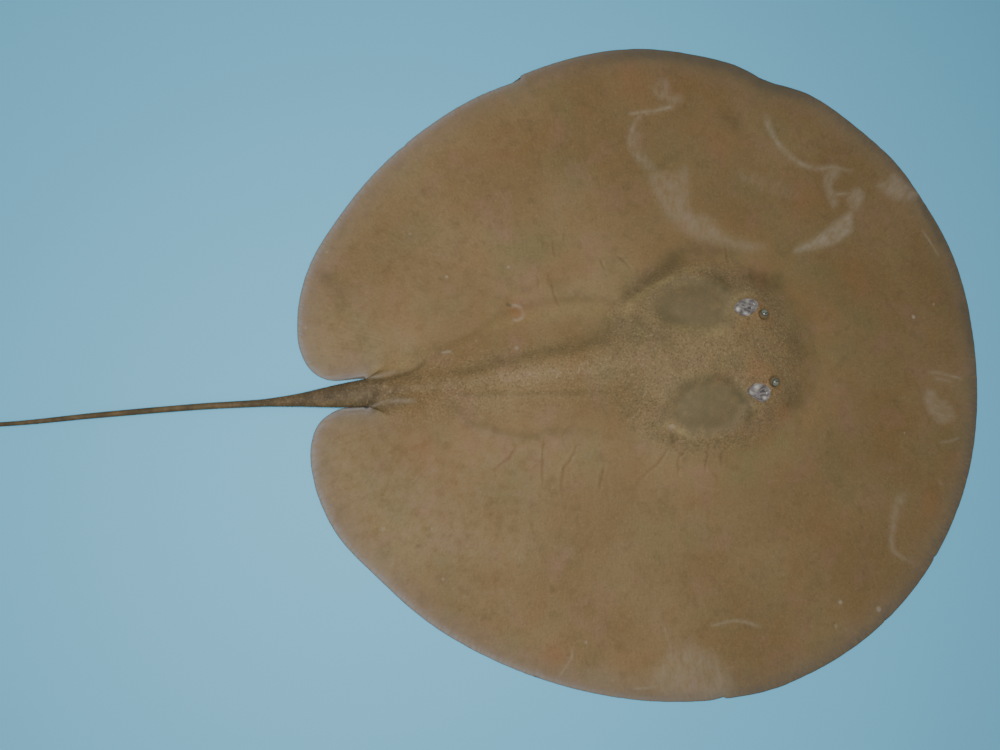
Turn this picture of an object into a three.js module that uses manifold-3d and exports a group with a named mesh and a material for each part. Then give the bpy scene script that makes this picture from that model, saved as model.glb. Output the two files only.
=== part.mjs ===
// A life-size freshwater round ray, lying still on a floor with its disc spread and its tail trailing.
// Millimetres. +X runs forward to the snout, +Y to the animal's left, +Z up.
// The origin is on the floor under the middle of the disc.
//
// The disc is lofted on ribs. Each rib starts on the spine, crosses the body wall and ends at the margin.
// Ribs are numbered by their bearing in degrees from the snout: 0 to 170 go round the disc,
// 170 to 180 turn the corner of the rear lobe, and 180 to 182 close the notch beside the tail.
// A place along a rib is 0 on the spine, 1 at the body wall and 2 at the margin.
import * as THREE from "three";
import { mergeVertices } from "three/addons/utils/BufferGeometryUtils.js";
import Module from "manifold-3d";

const wasm = await Module();
wasm.setup();

// ---------------------------------------------------------------- driving dimensions

const gap = 0.4; // left between two pieces that meet
const ribGap = 0.16; // half the gap between two ribs that are cut apart, in degrees of bearing

const disc = {
  radius: 290, // mean radius of the margin
  waves: [0.9, 12.8, -6, 1.15], // how the radius swells with 1, 2, 3 and 4 times the bearing
  marginThickness: 1.8,
  lobeX: -268, // where the rear lobe's corner meets its straight inner edge
  notchX: -251, // the notch beside the tail
  notchY: { left: 12.4, right: 10.9 }, // how far from the middle each lobe's inner edge lies
  lobeSquareness: 0.85, // 1 makes the lobe's corner a plain ellipse
  arch: 1.5, // the fins' underside arches this much between the belly and the margin
  footBand: 0.9, // beyond this share of the fin, the underside is flat on the floor
};
const ribAt = { headEnd: 90, snoutEdge: 20, roundEnd: 170, lobeEnd: 180, notch: 182 };

// Places where the margin is drawn in, or out when the depth is negative. Side 1 is the left, -1 the right.
const marginDents = [
  { sides: [1], bearing: 60.5, spread: 5.5, depth: 7 },
  { sides: [1], bearing: 72, spread: 9, depth: 2.5 },
  { sides: [1], bearing: 15, spread: 11, depth: -3.2 },
  { sides: [1], bearing: 32, spread: 7, depth: -3 },
  { sides: [1], bearing: 92, spread: 14, depth: -1.8 },
  { sides: [-1], bearing: 79, spread: 6, depth: -1.2 },
  { sides: [-1], bearing: 10, spread: 10, depth: 0.8 },
  { sides: [-1], bearing: 151, spread: 7, depth: 1.5 },
  { sides: [1, -1], bearing: 159, spread: 6, depth: -2.5 },
  { sides: [1, -1], bearing: 171.5, spread: 4, depth: 4 },
];

// The body wall: half width of head and trunk, by rib. It rounds the head and then runs back to the tail root.
const wall = {
  middleX: -21,
  reachX: 159,
  halfWidth: [
    [0, 0], [20, 31], [40, 58], [58, 82], [74, 87], [90, 74], [106, 65], [126, 60], [142, 54], [153, 45.5],
    [167, 30], [182, 11.4],
  ],
};
const spine = { scale: 0.958, offset: -1.2 }; // the spine's X from the wall's X

// Heights above the floor, by X.
const spineHeight = [
  [-249, 13.2], [-200, 20], [-150, 29], [-100, 38], [-50, 44], [-10, 46], [30, 44], [60, 40], [90, 33],
  [112, 26.5], [131, 21],
];
const wallHeight = [
  [-249, 5.5], [-200, 11], [-165, 14], [-110, 18], [-60, 20.5], [-20, 22], [20, 23], [60, 23.5], [100, 22.5],
  [138, 19.5],
];
const finTaper = 1.25; // how quickly the fin thins to its margin

// Forms on the back, each given for the left side and mirrored.
const gillPlateau = { from: -45, to: 15 }; // X where the steep-sided gill region begins and is full
const vertebralRidge = { height: 3, halfWidth: [[-249, 6], [-160, 11], [-110, 16], [-50, 24], [0, 30]] };
const gillHollow = { x: 20, y: 42, length: 38, width: 25, depth: 5.5 };
const orbitalSwelling = { x: 80, y: 29, spread: 13, height: 3.2 };

const eye = { x: 78.8, y: 28.2, radius: 4.7, sunk: 0.9 }; // its middle lies this far under the skin
const spiracle = {
  x: 65,
  y: 35.5,
  corners: [[53.8, 34.4], [61.3, 42.2], [70.3, 42.2], [74.8, 37], [70.8, 31.2], [61.5, 28]],
  depth: 9,
  liningThickness: 4.5,
};

// The mouth and gill openings on the underside.
const mouth = { x: 100, halfWidth: 19, chin: 11, curtainLength: 15, plateThickness: 2.6, slit: 1.2 };
const gillSlits = {
  count: 5,
  first: { x: 64, y: 50, length: 13 },
  last: { x: -4, y: 33, length: 9 },
  width: 1.6,
  depth: 1.8,
  bow: 2.5,
};
const nostril = { x: 110.5, y: 19.5, length: 6, width: 4, depth: 2.5 };
const cloaca = { x: -188, length: 14, width: 2, depth: 2 };

const pelvicFin = {
  x: -194,
  root: 17,
  halfLength: 36,
  reach: 52,
  sweep: 14, // the outer edge trails this far behind the root
  rootThickness: 3.6,
  edgeThickness: 1.3,
};

// The tail, by X: half width, height and how far its middle has swung to the left.
const tail = {
  rootX: -249,
  rootShift: 1, // the tail root sits this far to the left of the midline
  chevron: 9, // the trunk ends in a V this deep, and the tail base fits it
  chevronEnd: -275,
  halfWidth: [
    [-720, 0.75], [-620, 1.15], [-519, 1.6], [-449, 2.15], [-377, 2.5], [-332, 3], [-317, 4], [-301, 5.5],
    [-286, 7.5], [-268, 9.7], [-249, 11.4],
  ],
  height: [
    [-720, 1.5], [-620, 2.2], [-519, 3.1], [-449, 4], [-377, 4.6], [-332, 5.4], [-286, 9], [-249, 13.2],
  ],
  swing: [
    [-720, 26], [-620, 14.5], [-519, 6.4], [-449, 5.7], [-377, 4.2], [-332, 2], [-301, 1.1], [-249, 1],
  ],
  floorClip: 0.96, // the round section is sunk by this much, so that it lies on a narrow flat
};
// The tail's lengths from the root back: where each ends, and how many rows of faces it has.
const tailLengths = [
  { name: "tail_base", end: -325, rows: 9 },
  { name: "tail_middle", end: -455, rows: 8 },
  { name: "tail_whip", end: -590, rows: 7 },
  { name: "tail_tip", end: -720, rows: 6 },
];

// How finely each region is divided.
const innerSteps = [0, 0.16, 0.32, 0.48, 0.62, 0.75, 0.87, 1];
const outerSteps = [1, 1.12, 1.27, 1.44, 1.6, 1.75, 1.9, 2];
const tailSteps = 8;

// ---------------------------------------------------------------- small mathematics

const degrees = Math.PI / 180;
const mix = (a, b, t) => a + (b - a) * t;
const clamp = (v) => Math.min(1, Math.max(0, v));
const smooth = (from, to, v) => {
  const t = clamp((v - from) / (to - from));
  return t * t * (3 - 2 * t);
};
const bump = (dx, dy, spread) => Math.exp(-(dx * dx + dy * dy) / (spread * spread));

// A smooth curve through stations [place, value], which are in order of place.
function through(stations, place) {
  const last = stations.length - 1;
  const slope = (i) => {
    const [a, b] = [stations[Math.max(0, i - 1)], stations[Math.min(last, i + 1)]];
    return (b[1] - a[1]) / (b[0] - a[0]);
  };
  const at = Math.min(stations[last][0], Math.max(stations[0][0], place));
  let i = 0;
  while (i < last - 1 && at > stations[i + 1][0]) i += 1;
  const [[x0, y0], [x1, y1]] = [stations[i], stations[i + 1]];
  const h = x1 - x0;
  const t = (at - x0) / h;
  return (
    (2 * t ** 3 - 3 * t ** 2 + 1) * y0 +
    (t ** 3 - 2 * t ** 2 + t) * h * slope(i) +
    (3 * t ** 2 - 2 * t ** 3) * y1 +
    (t ** 3 - t ** 2) * h * slope(i + 1)
  );
}

// Numbers from one end to the other in equal steps.
const steps = (from, to, count) => Array.from({ length: count + 1 }, (_, i) => mix(from, to, i / count));

// ---------------------------------------------------------------- the plan of the disc

function roundMargin(rib, side) {
  let radius = disc.radius;
  disc.waves.forEach((height, k) => {
    radius += height * Math.cos((k + 1) * rib * degrees);
  });
  for (const dent of marginDents)
    if (dent.sides.includes(side)) radius -= dent.depth * Math.exp(-(((rib - dent.bearing) / dent.spread) ** 2));
  return [radius * Math.cos(rib * degrees), radius * Math.sin(rib * degrees)];
}

// Where a rib meets the margin, with both sides given in the left side's terms.
function marginPoint(rib, side) {
  if (rib <= ribAt.roundEnd) return roundMargin(rib, side);
  const [x, y] = roundMargin(ribAt.roundEnd, side);
  const notchY = side > 0 ? disc.notchY.left : disc.notchY.right;
  if (rib <= ribAt.lobeEnd) {
    const turn = ((rib - ribAt.roundEnd) / (ribAt.lobeEnd - ribAt.roundEnd)) * 90 * degrees;
    const [back, inward] = [Math.cos(turn), Math.sin(turn)].map((v) => Math.abs(v) ** disc.lobeSquareness);
    return [mix(disc.lobeX, x, back), mix(y, notchY, inward)];
  }
  const share = (rib - ribAt.lobeEnd) / (ribAt.notch - ribAt.lobeEnd);
  return [mix(disc.lobeX, disc.notchX, share), notchY];
}

function wallPoint(rib) {
  const x =
    rib <= ribAt.headEnd
      ? wall.middleX + wall.reachX * Math.cos(rib * degrees)
      : mix(wall.middleX, tail.rootX, (rib - ribAt.headEnd) / (ribAt.notch - ribAt.headEnd));
  return [x, through(wall.halfWidth, rib)];
}

const spinePoint = (rib) => [spine.scale * wallPoint(rib)[0] + spine.offset, 0];

// The tail root's small swing to the left, which fades into the lobes beside it.
function swayed([x, y]) {
  return [x, y + tail.rootShift * smooth(-190, -249, x) * (1 - smooth(20, 60, Math.abs(y)))];
}

// A point of the plan. The side is -1 where either number is negative: a negative rib is a right one,
// and a negative place lies on the right half of a rib that crosses the spine.
function plan(rib, place) {
  const side = rib < 0 || place < 0 ? -1 : 1;
  const [q, p] = [Math.abs(rib), Math.abs(place)];
  const [from, to] = p <= 1 ? [spinePoint(q), wallPoint(q)] : [wallPoint(q), marginPoint(q, side)];
  const t = p <= 1 ? p : p - 1;
  return swayed([mix(from[0], to[0], t), side * mix(from[1], to[1], t)]);
}

// ---------------------------------------------------------------- the heights

// Forms that stand on the lofted back.
function backRelief(x, y) {
  const side = Math.abs(y);
  const hollow = Math.hypot((x - gillHollow.x) / gillHollow.length, (side - gillHollow.y) / gillHollow.width);
  const ridgeWidth = through(vertebralRidge.halfWidth, x);
  const ridgeReach = smooth(-250, -190, x) * (1 - smooth(-60, 0, x));
  const { x: ox, y: oy, spread, height } = orbitalSwelling;
  return (
    -gillHollow.depth * (1 - smooth(0.62, 1.1, hollow)) +
    vertebralRidge.height * ridgeReach * Math.exp(-((y / ridgeWidth) ** 2)) +
    height * bump(x - ox, side - oy, spread)
  );
}

function topHeight(rib, place) {
  const [q, p] = [Math.abs(rib), Math.abs(place)];
  const [x, y] = plan(rib, place);
  const edge = through(wallHeight, wallPoint(q)[0]);
  if (p > 1) {
    const fade = (1 - (p - 1)) ** finTaper;
    return mix(disc.marginThickness, edge, fade) + backRelief(x, y) * (1 - smooth(1, 1.9, p));
  }
  const crest = through(spineHeight, spinePoint(q)[0]);
  const bell = 0.5 + 0.5 * Math.cos(Math.PI * p);
  const plateau = 1 - smooth(0.52, 1, p);
  const round = Math.sqrt(Math.max(0, 1 - p * p));
  const form = mix(bell, plateau, smooth(gillPlateau.from, gillPlateau.to, x));
  return mix(edge, crest, mix(round, form, smooth(tail.rootX, -215, x))) + backRelief(x, y);
}

function bottomHeight(rib, place) {
  const out = (Math.abs(place) - 1) / disc.footBand;
  return out > 0 && out < 1 ? disc.arch * Math.sin(Math.PI * out) ** 2 : 0;
}

// ---------------------------------------------------------------- closed solids

// A closed geometry between a top and a bottom surface over a grid of plan points.
// grid[i][j] holds [x, y, top, bottom]. Points that coincide in plan become one.
function slab(grid) {
  const ids = new Map();
  const points = [];
  const idOf = ([x, y, top, bottom]) => {
    const key = `${x.toFixed(3)} ${y.toFixed(3)}`;
    if (!ids.has(key)) {
      ids.set(key, points.length);
      points.push([x, y, top, bottom]);
    }
    return ids.get(key);
  };
  const faces = [];
  for (let i = 0; i + 1 < grid.length; i += 1)
    for (let j = 0; j + 1 < grid[i].length; j += 1) {
      const [a, b, c, d] = [grid[i][j], grid[i + 1][j], grid[i + 1][j + 1], grid[i][j + 1]].map(idOf);
      for (const face of [[a, d, c], [a, c, b]]) if (new Set(face).size === 3) faces.push(face);
    }
  const area = ([a, b, c]) => {
    const [p, q, r] = [points[a], points[b], points[c]];
    return (q[0] - p[0]) * (r[1] - p[1]) - (q[1] - p[1]) * (r[0] - p[0]);
  };
  const upward = faces.reduce((sum, face) => sum + area(face), 0) > 0;
  const tops = upward ? faces : faces.map(([a, b, c]) => [a, c, b]);
  const edges = new Set(tops.flatMap(([a, b, c]) => [`${a} ${b}`, `${b} ${c}`, `${c} ${a}`]));
  const under = points.length;
  const triangles = [...tops, ...tops.map(([a, b, c]) => [a + under, c + under, b + under])];
  for (const edge of edges) {
    const [a, b] = edge.split(" ").map(Number);
    if (!edges.has(`${b} ${a}`)) triangles.push([b, a, a + under], [b, a + under, b + under]);
  }
  const positions = [...points.map(([x, y, top]) => [x, y, top]), ...points.map(([x, y, , low]) => [x, y, low])];
  const geometry = new THREE.BufferGeometry();
  geometry.setAttribute("position", new THREE.Float32BufferAttribute(positions.flat(), 3));
  geometry.setIndex(triangles.flat());
  return geometry;
}

// A prism on a closed outline in plan, standing from one height to another.
function prism(outline, low, high) {
  const shape = new THREE.Shape(outline.map(([x, y]) => new THREE.Vector2(x, y)));
  return new THREE.ExtrudeGeometry(shape, { depth: high - low, bevelEnabled: false }).translate(0, 0, low);
}

function solidOf(geometry) {
  const bare = geometry.clone();
  for (const name of ["normal", "uv"]) bare.deleteAttribute(name);
  const merged = mergeVertices(bare, 1e-4);
  return new wasm.Manifold(
    new wasm.Mesh({
      numProp: 3,
      vertProperties: new Float32Array(merged.attributes.position.array),
      triVerts: new Uint32Array(merged.index.array),
    }),
  );
}

function geometryOf(solid) {
  const { vertProperties, triVerts } = solid.getMesh();
  const geometry = new THREE.BufferGeometry();
  geometry.setAttribute("position", new THREE.Float32BufferAttribute(vertProperties, 3));
  geometry.setIndex(new THREE.Uint32BufferAttribute(triVerts, 1));
  return geometry;
}

// Cuts several tools out of a geometry.
function cut(geometry, tools) {
  const solid = tools.reduce((left, tool) => left.subtract(solidOf(tool)), solidOf(geometry));
  return geometryOf(solid);
}

// The outline of a smooth closed loop through a few corners, on one side of the body.
function loop(corners, side, grow, pointsPerCorner) {
  const middle = corners.reduce(([x, y], c) => [x + c[0] / corners.length, y + c[1] / corners.length], [0, 0]);
  const grown = corners.map(([x, y]) => {
    const [dx, dy] = [x - middle[0], y - middle[1]];
    const scale = 1 + grow / Math.hypot(dx, dy);
    return new THREE.Vector3(middle[0] + dx * scale, side * (middle[1] + dy * scale), 0);
  });
  const curve = new THREE.CatmullRomCurve3(grown, true);
  const points = curve.getPoints(corners.length * pointsPerCorner).slice(0, -1);
  const inOrder = points.map(({ x, y }) => [x, y]);
  return side > 0 ? inOrder.reverse() : inOrder;
}

// ---------------------------------------------------------------- the parts of the body

const loftPoint = (rib, place) => [...plan(rib, place), topHeight(rib, place), bottomHeight(rib, place)];

const bothSides = (places) => [...places.slice(1).map((p) => -p).reverse(), ...places];

// A place just inside or just outside the wall, half a gap from it along the rib.
function besideWall(rib, outward) {
  const [from, to] = outward
    ? [wallPoint(rib), marginPoint(rib, 1)]
    : [spinePoint(rib), wallPoint(rib)];
  const length = Math.hypot(to[0] - from[0], to[1] - from[1]);
  return outward ? 1 + gap / 2 / length : 1 - gap / 2 / length;
}

const withinWall = (rib, places) => places.map((p) => Math.sign(p) * Math.min(Math.abs(p), besideWall(rib, false)));

// The head or trunk between two ribs, from wall to wall.
const core = (ribs) =>
  slab(ribs.map((rib) => withinWall(rib, bothSides(innerSteps)).map((place) => loftPoint(rib, place))));

// The fin or snout between two ribs, from the wall to the margin.
function blade(ribs) {
  return slab(
    ribs.map((rib) => {
      const start = besideWall(Math.abs(rib), true);
      return outerSteps.map((step) => loftPoint(rib, Math.max(step, start)));
    }),
  );
}

const headSolid = () => core(steps(0, ribAt.headEnd - ribGap, 22));

const trunkSolid = () => core(steps(ribAt.headEnd + ribGap, ribAt.notch, 19));

function finSolid(side) {
  const ribs = [
    ...steps(ribAt.snoutEdge + ribGap, ribAt.roundEnd, 33),
    ...steps(ribAt.roundEnd, ribAt.lobeEnd, 6).slice(1),
    ribAt.notch,
  ];
  return blade(ribs.map((rib) => side * rib));
}

const snoutSolid = () => blade(steps(-ribAt.snoutEdge + ribGap, ribAt.snoutEdge - ribGap, 9));

// A half ellipse in plan beside the vent, thick at its root.
function pelvicFinSolid(side, grow) {
  const { x, root, halfLength, reach, sweep, rootThickness, edgeThickness } = pelvicFin;
  const start = root - grow;
  return slab(
    steps(12, 168, 12).map((bearing) => {
      const reachHere = (reach + grow) * Math.sin(bearing * degrees);
      const along = x + (halfLength + grow) * Math.cos(bearing * degrees);
      return steps(0, 1, 4).map((share) => [
        along - sweep * Math.sin(bearing * degrees) * share,
        side * mix(start, start + reachHere + grow, share),
        mix(rootThickness, edgeThickness, share ** 1.5) + grow,
        -grow,
      ]);
    }),
  );
}

function tailSection(x, across) {
  const t = Math.sin((across * Math.PI) / 2);
  const half = through(tail.halfWidth, x);
  const tall = through(tail.height, x);
  const chevron = tail.chevron * (1 - Math.abs(t)) * smooth(tail.chevronEnd, tail.rootX, x);
  const round = Math.sqrt(Math.max(0, 1 - t * t));
  const middle = (tall / 2) * tail.floorClip;
  const thin = 0.3; // half the height of the narrow side face
  return [
    x + chevron,
    through(tail.swing, x) + half * t,
    middle + Math.max(thin, (tall / 2) * round),
    Math.max(0, middle - Math.max(thin, (tall / 2) * round)),
  ];
}

function tailSolid(from, to, rows) {
  const across = steps(-1, 1, tailSteps);
  return slab(steps(from - gap / 2, to + gap / 2, rows).map((x) => across.map((t) => tailSection(x, t))));
}

// ---------------------------------------------------------------- eyes and spiracles

// The height of the back over a point of the head, taken from the nearest of a fine net of places.
function headTop(x, y) {
  let best = { miss: Infinity };
  for (let rib = 0; rib <= ribAt.headEnd; rib += 1)
    for (let place = 0; place <= 1; place += 0.02) {
      const [px, py] = plan(rib, place);
      const miss = Math.hypot(px - x, py - y);
      if (miss < best.miss) best = { miss, height: topHeight(rib, place) };
    }
  return best.height;
}

function eyeball(side, radius) {
  const height = headTop(eye.x, eye.y) - eye.sunk;
  return new THREE.SphereGeometry(radius, 14, 10).translate(eye.x, side * eye.y, height);
}

const spiracleTop = headTop(spiracle.x, spiracle.y);

// The pale lining lies at the bottom of the spiracle's pit.
function spiracleLining(side) {
  const low = spiracleTop - spiracle.depth;
  return prism(loop(spiracle.corners, side, -gap, 2), low, low + spiracle.liningThickness);
}

const spiraclePit = (side) =>
  prism(loop(spiracle.corners, side, 0, 2), spiracleTop - spiracle.depth - gap, spiracleTop + 12);

// ---------------------------------------------------------------- the underside

// A curved groove across one gill opening.
function gillGroove(index, side) {
  const { first, last, count, width, depth, bow } = gillSlits;
  const share = index / (count - 1);
  const [x, y, length] = ["x", "y", "length"].map((key) => mix(first[key], last[key], share));
  const across = steps(-0.5, 0.5, 4);
  const edge = (shift) =>
    across.map((t) => [x + shift * (1 - 4 * t * t) * 0.8 + shift * 0.2 - bow * 4 * t * t, side * (y + t * length)]);
  const outline = [...edge(width / 2), ...edge(-width / 2).reverse()];
  return prism(side > 0 ? outline.reverse() : outline, -1, depth);
}

// The jaws: a chin plate behind the mouth and the nasal curtain in front of it, each half an ellipse.
function halfOval(forward, length, grow) {
  const start = mouth.x + (forward * mouth.slit) / 2 - forward * grow;
  return steps(0, 180, 10).map((turn) => [
    start + forward * (length + 2 * grow) * Math.sin(turn * degrees),
    forward * (mouth.halfWidth + grow) * Math.cos(turn * degrees),
  ]);
}
const chinPlate = (grow) => prism(halfOval(-1, mouth.chin, grow), -2 * grow, mouth.plateThickness + grow);
const nasalCurtain = (grow) => prism(halfOval(1, mouth.curtainLength, grow), -2 * grow, mouth.plateThickness + grow);

// A blind oval hole in the underside.
function ovalHole({ x, length, width, depth }, y) {
  const outline = steps(0, 360, 12)
    .slice(0, -1)
    .map((turn) => [x + (length / 2) * Math.cos(turn * degrees), y + (width / 2) * Math.sin(turn * degrees)]);
  return prism(outline, -1, depth);
}

// ---------------------------------------------------------------- materials and the scene graph

const skin = new THREE.MeshStandardMaterial({ color: 0x84694a, roughness: 0.55, metalness: 0 });
const tailSkin = new THREE.MeshStandardMaterial({ color: 0x6b5a45, roughness: 0.55, metalness: 0 });
const paleSkin = new THREE.MeshStandardMaterial({ color: 0xcdbfae, roughness: 0.5, metalness: 0 });
const eyeGloss = new THREE.MeshStandardMaterial({ color: 0x24281f, roughness: 0.1, metalness: 0 });
const mucosa = new THREE.MeshStandardMaterial({ color: 0xa9a49d, roughness: 0.35, metalness: 0 });

const ray = new THREE.Group();

function add(name, geometry, material) {
  const mesh = new THREE.Mesh(geometry, material);
  mesh.name = name;
  ray.add(mesh);
}

const sides = [["left", 1], ["right", -1]];

const headTools = [chinPlate(gap), nasalCurtain(gap)];
for (const [, side] of sides) {
  headTools.push(eyeball(side, eye.radius + gap), spiraclePit(side), ovalHole(nostril, side * nostril.y));
  for (let i = 0; i < gillSlits.count; i += 1) headTools.push(gillGroove(i, side));
}
add("head", cut(headSolid(), headTools), skin);
add("snout", snoutSolid(), skin);
add("trunk", cut(trunkSolid(), [pelvicFinSolid(1, gap), pelvicFinSolid(-1, gap), ovalHole(cloaca, 0)]), skin);
add("chin", chinPlate(0), paleSkin);
add("nasal_curtain", nasalCurtain(0), paleSkin);
for (const [name, side] of sides) {
  add(`pectoral_fin_${name}`, cut(finSolid(side), [pelvicFinSolid(side, gap)]), skin);
  add(`pelvic_fin_${name}`, pelvicFinSolid(side, 0), paleSkin);
  add(`eye_${name}`, eyeball(side, eye.radius), eyeGloss);
  add(`spiracle_${name}`, spiracleLining(side), mucosa);
}
tailLengths.forEach(({ name, end, rows }, i) => {
  const start = i === 0 ? tail.rootX : tailLengths[i - 1].end;
  add(name, tailSolid(start, end, rows), tailSkin);
});

export default ray;
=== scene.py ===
# A life-size freshwater round ray lying on a floor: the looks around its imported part.
# Blender works in metres. The body's own sizes are in millimetres, in the same frame as the part.
import math

import bmesh
import bpy
import numpy as np
from mathutils import Matrix, Vector, kdtree, noise


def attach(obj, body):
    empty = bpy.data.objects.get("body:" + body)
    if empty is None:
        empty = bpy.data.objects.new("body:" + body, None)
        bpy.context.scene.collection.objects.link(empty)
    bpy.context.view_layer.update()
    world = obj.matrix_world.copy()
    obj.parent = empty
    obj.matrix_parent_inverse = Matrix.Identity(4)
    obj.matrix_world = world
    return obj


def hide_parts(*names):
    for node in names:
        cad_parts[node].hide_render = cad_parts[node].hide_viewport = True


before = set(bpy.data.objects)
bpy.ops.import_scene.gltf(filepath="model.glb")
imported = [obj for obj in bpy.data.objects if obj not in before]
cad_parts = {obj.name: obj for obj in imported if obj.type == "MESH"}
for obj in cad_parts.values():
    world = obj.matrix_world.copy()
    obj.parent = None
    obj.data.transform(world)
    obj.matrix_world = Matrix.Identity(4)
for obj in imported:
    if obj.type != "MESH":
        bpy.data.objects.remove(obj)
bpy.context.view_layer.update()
scene = bpy.context.scene
mm = 0.001

camera = {
    "place": (-0.308, -0.087, 0.795),
    "forward": (0.2049, 0.1125, -0.9723),
    "up": (0.1004, 0.9857, 0.1352),
    "lens": 36,
}


def addObject(name, data):
    # an object in the scene that holds the data
    made = bpy.data.objects.new(name, data)
    scene.collection.objects.link(made)
    return made


def makeCamera():
    data = bpy.data.cameras.new("camera")
    data.lens = camera["lens"]
    data.sensor_width = 36
    holder = addObject("camera", data)
    back = -Vector(camera["forward"]).normalized()
    right = Vector(camera["up"]).cross(back).normalized()
    turned = Matrix((right, back.cross(right), back)).transposed()
    holder.matrix_world = Matrix.Translation(camera["place"]) @ turned.to_4x4()
    scene.camera = holder


makeCamera()


# Small mathematics on arrays.
def mix(a, b, t):
    return a + (b - a) * t


def smooth(start, end, value):
    t = np.clip((value - start) / (end - start), 0, 1)
    return t * t * (3 - 2 * t)


def bell(distance, spread):
    return np.exp(-((distance / spread) ** 2))


def through(stations, at):
    # a smooth curve through pairs of (place, value), which are in order of place
    places, values = np.array(stations, float).T
    before = np.maximum(np.arange(len(places)) - 1, 0)
    after = np.minimum(np.arange(len(places)) + 1, len(places) - 1)
    slope = (values[after] - values[before]) / (places[after] - places[before])
    at = np.clip(at, places[0], places[-1])
    i = np.clip(np.searchsorted(places, at, side="right") - 1, 0, len(places) - 2)
    span = places[i + 1] - places[i]
    t = (at - places[i]) / span
    return (
        (2 * t**3 - 3 * t**2 + 1) * values[i]
        + (t**3 - 2 * t**2 + t) * span * slope[i]
        + (3 * t**2 - 2 * t**3) * values[i + 1]
        + (t**3 - t**2) * span * slope[i + 1]
    )


def cloudAt(x, y, size, seed):
    # soft random hills of about that size in mm, from -1 to 1
    return np.array([noise.noise((a / size, b / size, seed)) for a, b in zip(x, y)])


def curveThrough(points, closed=False, perSpan=6):
    points = np.array(points, float)
    count = len(points)
    spans = count if closed else count - 1
    curve = []
    for i in range(spans):
        picks = [i - 1, i, i + 1, i + 2]
        picks = [p % count for p in picks] if closed else [min(max(p, 0), count - 1) for p in picks]
        a, b, c, d = points[picks]
        for t in np.arange(perSpan) / perSpan:
            bend = (2 * a - 5 * b + 4 * c - d) * t * t + (3 * b - a - 3 * c + d) * t**3
            curve.append(0.5 * (2 * b + (c - a) * t + bend))
    curve.append(points[0] if closed else points[-1])
    return np.array(curve)


def toPath(x, y, path):
    # how far each point is from a line in mm, and its share of the way along it
    best = np.full(np.shape(x), 1e9)
    along = np.zeros(np.shape(x))
    for k, (a, b) in enumerate(zip(path[:-1], path[1:])):
        step = b - a
        t = np.clip(((x - a[0]) * step[0] + (y - a[1]) * step[1]) / max(step @ step, 1e-9), 0, 1)
        distance = np.hypot(x - a[0] - t * step[0], y - a[1] - t * step[1])
        along = np.where(distance < best, (k + t) / (len(path) - 1), along)
        best = np.minimum(best, distance)
    return best, along


def insideLoop(x, y, loop):
    # whether each point lies inside a closed line
    crossed = np.zeros(np.shape(x), int)
    for a, b in zip(loop[:-1], loop[1:]):
        spans = (a[1] > y) != (b[1] > y)
        rise = b[1] - a[1] if b[1] != a[1] else 1e-9
        crossed += spans & (x < (b[0] - a[0]) * (y - a[1]) / rise + a[0])
    return crossed % 2 == 1


# The body's driving sizes, as in the part. A rib is numbered by its bearing in degrees from the snout, and a
# place along it is 0 on the spine, 1 at the body wall and 2 at the margin.
disc = {
    "radius": 290,
    "waves": [0.9, 12.8, -6, 1.15],
    "lobeX": -268,
    "notchX": -251,
    "notchY": (12.4, 10.9),  # left, right
    "lobeSquareness": 0.85,
    "marginThickness": 1.8,
    "roundEnd": 170,
    "lobeEnd": 180,
    "notch": 182,
    "arch": 1.5,
    "footBand": 0.9,
    "finTaper": 1.25,
    "tuck": (1.1, 2.6),  # the right lobe's inner edge leans in and up against the tail by this much
}
marginDents = [  # side, bearing, spread, depth
    (1, 60.5, 5.5, 7), (1, 72, 9, 2.5), (1, 15, 11, -3.2), (1, 32, 7, -3), (1, 92, 14, -1.8),
    (-1, 79, 6, -1.2),
    (-1, 10, 10, 0.8), (-1, 151, 7, 1.5), (1, 159, 6, -2.5), (-1, 159, 6, -2.5), (1, 171.5, 4, 4),
    (-1, 171.5, 4, 4),
]
wall = {
    "middleX": -21,
    "reachX": 159,
    "headEnd": 90,
    "halfWidth": [
        (0, 0), (20, 31), (40, 58), (58, 82), (74, 87), (90, 74), (106, 65), (126, 60), (142, 54),
        (153, 45.5), (167, 30), (182, 11.4),
    ],
    "height": [
        (-249, 5.5), (-200, 11), (-165, 14), (-110, 18), (-60, 20.5), (-20, 22), (20, 23), (60, 23.5),
        (100, 22.5), (138, 19.5),
    ],
}
spine = {
    "scale": 0.958,
    "offset": -1.2,
    "height": [
        (-249, 13.2), (-200, 20), (-150, 29), (-100, 38), (-50, 44), (-10, 46), (30, 44), (60, 40), (90, 33),
        (112, 26.5), (131, 21),
    ],
}
relief = {
    "plateau": (-45, 15),
    "ridgeHeight": 3,
    "ridgeHalfWidth": [(-249, 6), (-160, 11), (-110, 16), (-50, 24), (0, 30)],
    "hollow": (20, 42, 38, 25, 5.5),  # x, y, length, width, depth
    "orbit": (80, 29, 13, 3.2),  # x, y, spread, height
    "softened": 12,  # mm either way that the loft is averaged over
}
tail = {
    "rootX": -249,
    "tipX": -720,
    "rootShift": 1,
    "chevron": 9,
    "chevronEnd": -275,
    "floorClip": 0.96,
    "halfWidth": [
        (-720, 0.75), (-620, 1.15), (-519, 1.6), (-449, 2.15), (-377, 2.5), (-332, 3), (-317, 4), (-301, 5.5),
        (-286, 7.5), (-268, 9.7), (-249, 11.4),
    ],
    "height": [
        (-720, 1.5), (-620, 2.2), (-519, 3.1), (-449, 4), (-377, 4.6), (-332, 5.4), (-286, 9), (-249, 13.2),
    ],
    "swing": [
        (-720, 26), (-620, 14.5), (-519, 6.4), (-449, 5.7), (-377, 4.2), (-332, 2), (-301, 1.1), (-249, 1),
    ],
}
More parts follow.
